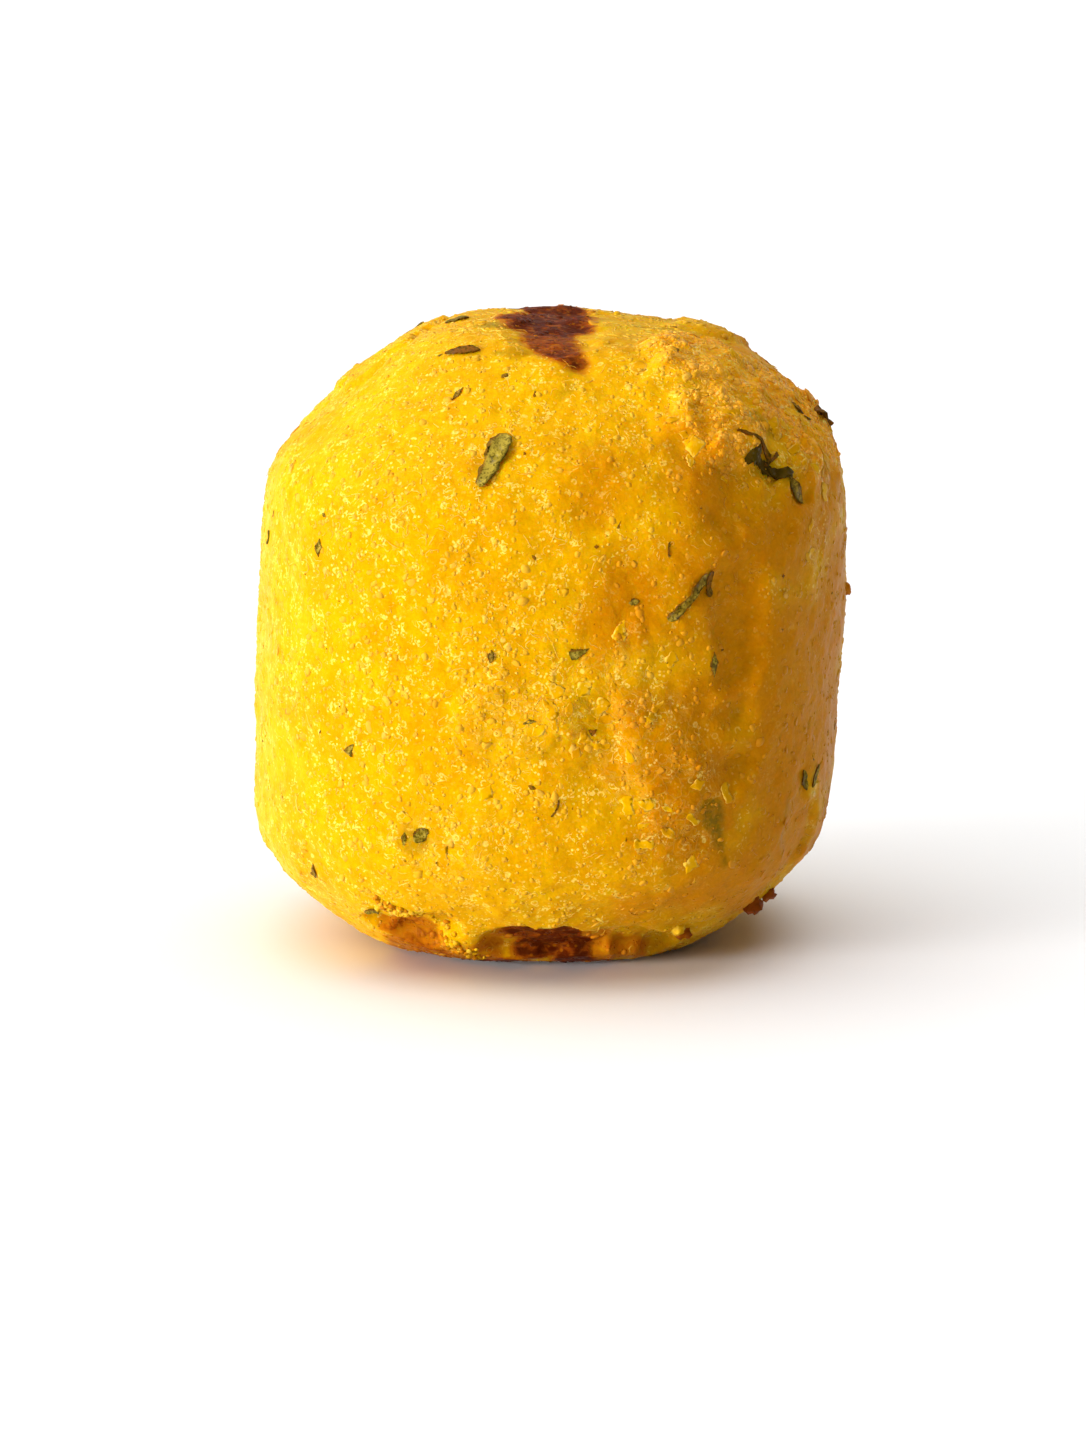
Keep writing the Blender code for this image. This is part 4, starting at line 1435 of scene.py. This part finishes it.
def add_floor(floor_colour):
    """A wide pale floor, level with the underside."""
    signs = ((-1, -1), (1, -1), (1, 1), (-1, 1))
    corners = [(x * FLOOR_HALF, y * FLOOR_HALF, 0) for x, y in signs]
    mesh = bpy.data.meshes.new("floor")
    mesh.from_pydata(corners, [], [(0, 1, 2, 3)])
    nodes = Nodes("floor")
    nodes.surface((*floor_colour, 1.0), 0.75)
    nodes.shader.feed("Specular IOR Level", 0.2)
    mesh.materials.append(nodes.material)
    floor = bpy.data.objects.new("floor", mesh)
    bpy.context.scene.collection.objects.link(floor)


def add_camera():
    """The camera of the photo: a long lens a little above the fritter."""
    data = bpy.data.cameras.new("camera")
    data.lens = FOCAL_LENGTH
    data.sensor_width = SENSOR_SIZE
    camera = bpy.data.objects.new("camera", data)
    rise = math.radians(CAMERA_ELEVATION)
    back = Vector((0, -math.cos(rise), math.sin(rise)))
    distance = PHOTO_HEIGHT_PIXELS * MM_PER_PIXEL / SENSOR_SIZE * FOCAL_LENGTH
    aim = Vector((AIM_X, 0, AIM_Z))
    camera.location = (aim + back * distance) * MM
    camera.rotation_mode = "QUATERNION"
    camera.rotation_quaternion = back.to_track_quat("Z", "Y")
    bpy.context.scene.collection.objects.link(camera)
    bpy.context.scene.camera = camera


class FRITTER_OT_stage(bpy.types.Operator):
    """Add the pale floor, the soft light and the camera"""

    bl_idname = "fritter.add_stage"
    bl_label = "Stage"

    def execute(self, context):
        scene = context.scene
        lights = scene.fritter_lights
        add_floor(lights.floor)
        side = lights.side_azimuth
        add_sun("side_light", lights.side_strength, side, lights.side_elevation, SIDE_SPREAD,
                False)
        add_sun("top_light", lights.top_strength, lights.top_azimuth, lights.top_elevation,
                TOP_SPREAD, False)
        add_sun("sheen", lights.sheen_strength, 0.0, math.radians(SHEEN_ELEVATION),
                SHEEN_SPREAD, True)
        add_sun("gleam", lights.gleam_strength, side, math.radians(GLEAM_ELEVATION),
                GLEAM_SPREAD, True)
        room = bpy.data.worlds.new("room")
        room.use_nodes = True
        background = room.node_tree.nodes["Background"]
        background.inputs["Color"].default_value = (1, 1, 1, 1)
        background.inputs["Strength"].default_value = lights.room_strength
        scene.world = room
        scene.view_settings.view_transform = "Standard"
        scene.view_settings.look = "None"
        add_camera()
        return {"FINISHED"}


OPERATORS = (
    FRITTER_OT_body, FRITTER_OT_grains, FRITTER_OT_curls, FRITTER_OT_herbs, FRITTER_OT_crumbs,
    FRITTER_OT_stage,
)


class FRITTER_PT_panel(bpy.types.Panel):
    """The fritter's pieces, sizes and colours"""

    bl_label = "Cornmeal Fritter"
    bl_idname = "FRITTER_PT_panel"
    bl_space_type = "VIEW_3D"
    bl_region_type = "UI"
    bl_category = "Fritter"

    def draw(self, context):
        layout = self.layout
        for operator in OPERATORS:
            layout.operator(operator.bl_idname)
        for name in GROUPS:
            group = getattr(context.scene, name)
            for key in group.bl_rna.properties.keys():
                if key not in ("rna_type", "name"):
                    layout.prop(group, key)


GROUPS = {
    "fritter_colours": FritterColours,
    "fritter_sizes": FritterSizes,
    "fritter_lights": StageLights,
}
CLASSES = (*GROUPS.values(), *OPERATORS, FRITTER_PT_panel)


def register():
    for made in CLASSES:
        bpy.utils.register_class(made)
    for name, group in GROUPS.items():
        setattr(bpy.types.Scene, name, PointerProperty(type=group))


def unregister():
    for name in GROUPS:
        delattr(bpy.types.Scene, name)
    for made in reversed(CLASSES):
        bpy.utils.unregister_class(made)


def main():
    register()
    bpy.ops.fritter.add_stage()
    bpy.ops.fritter.add_body()
    bpy.ops.fritter.add_grains()
    bpy.ops.fritter.add_curls()
    bpy.ops.fritter.add_herbs()
    bpy.ops.fritter.add_crumbs()


if __name__ == "__main__":
    main()
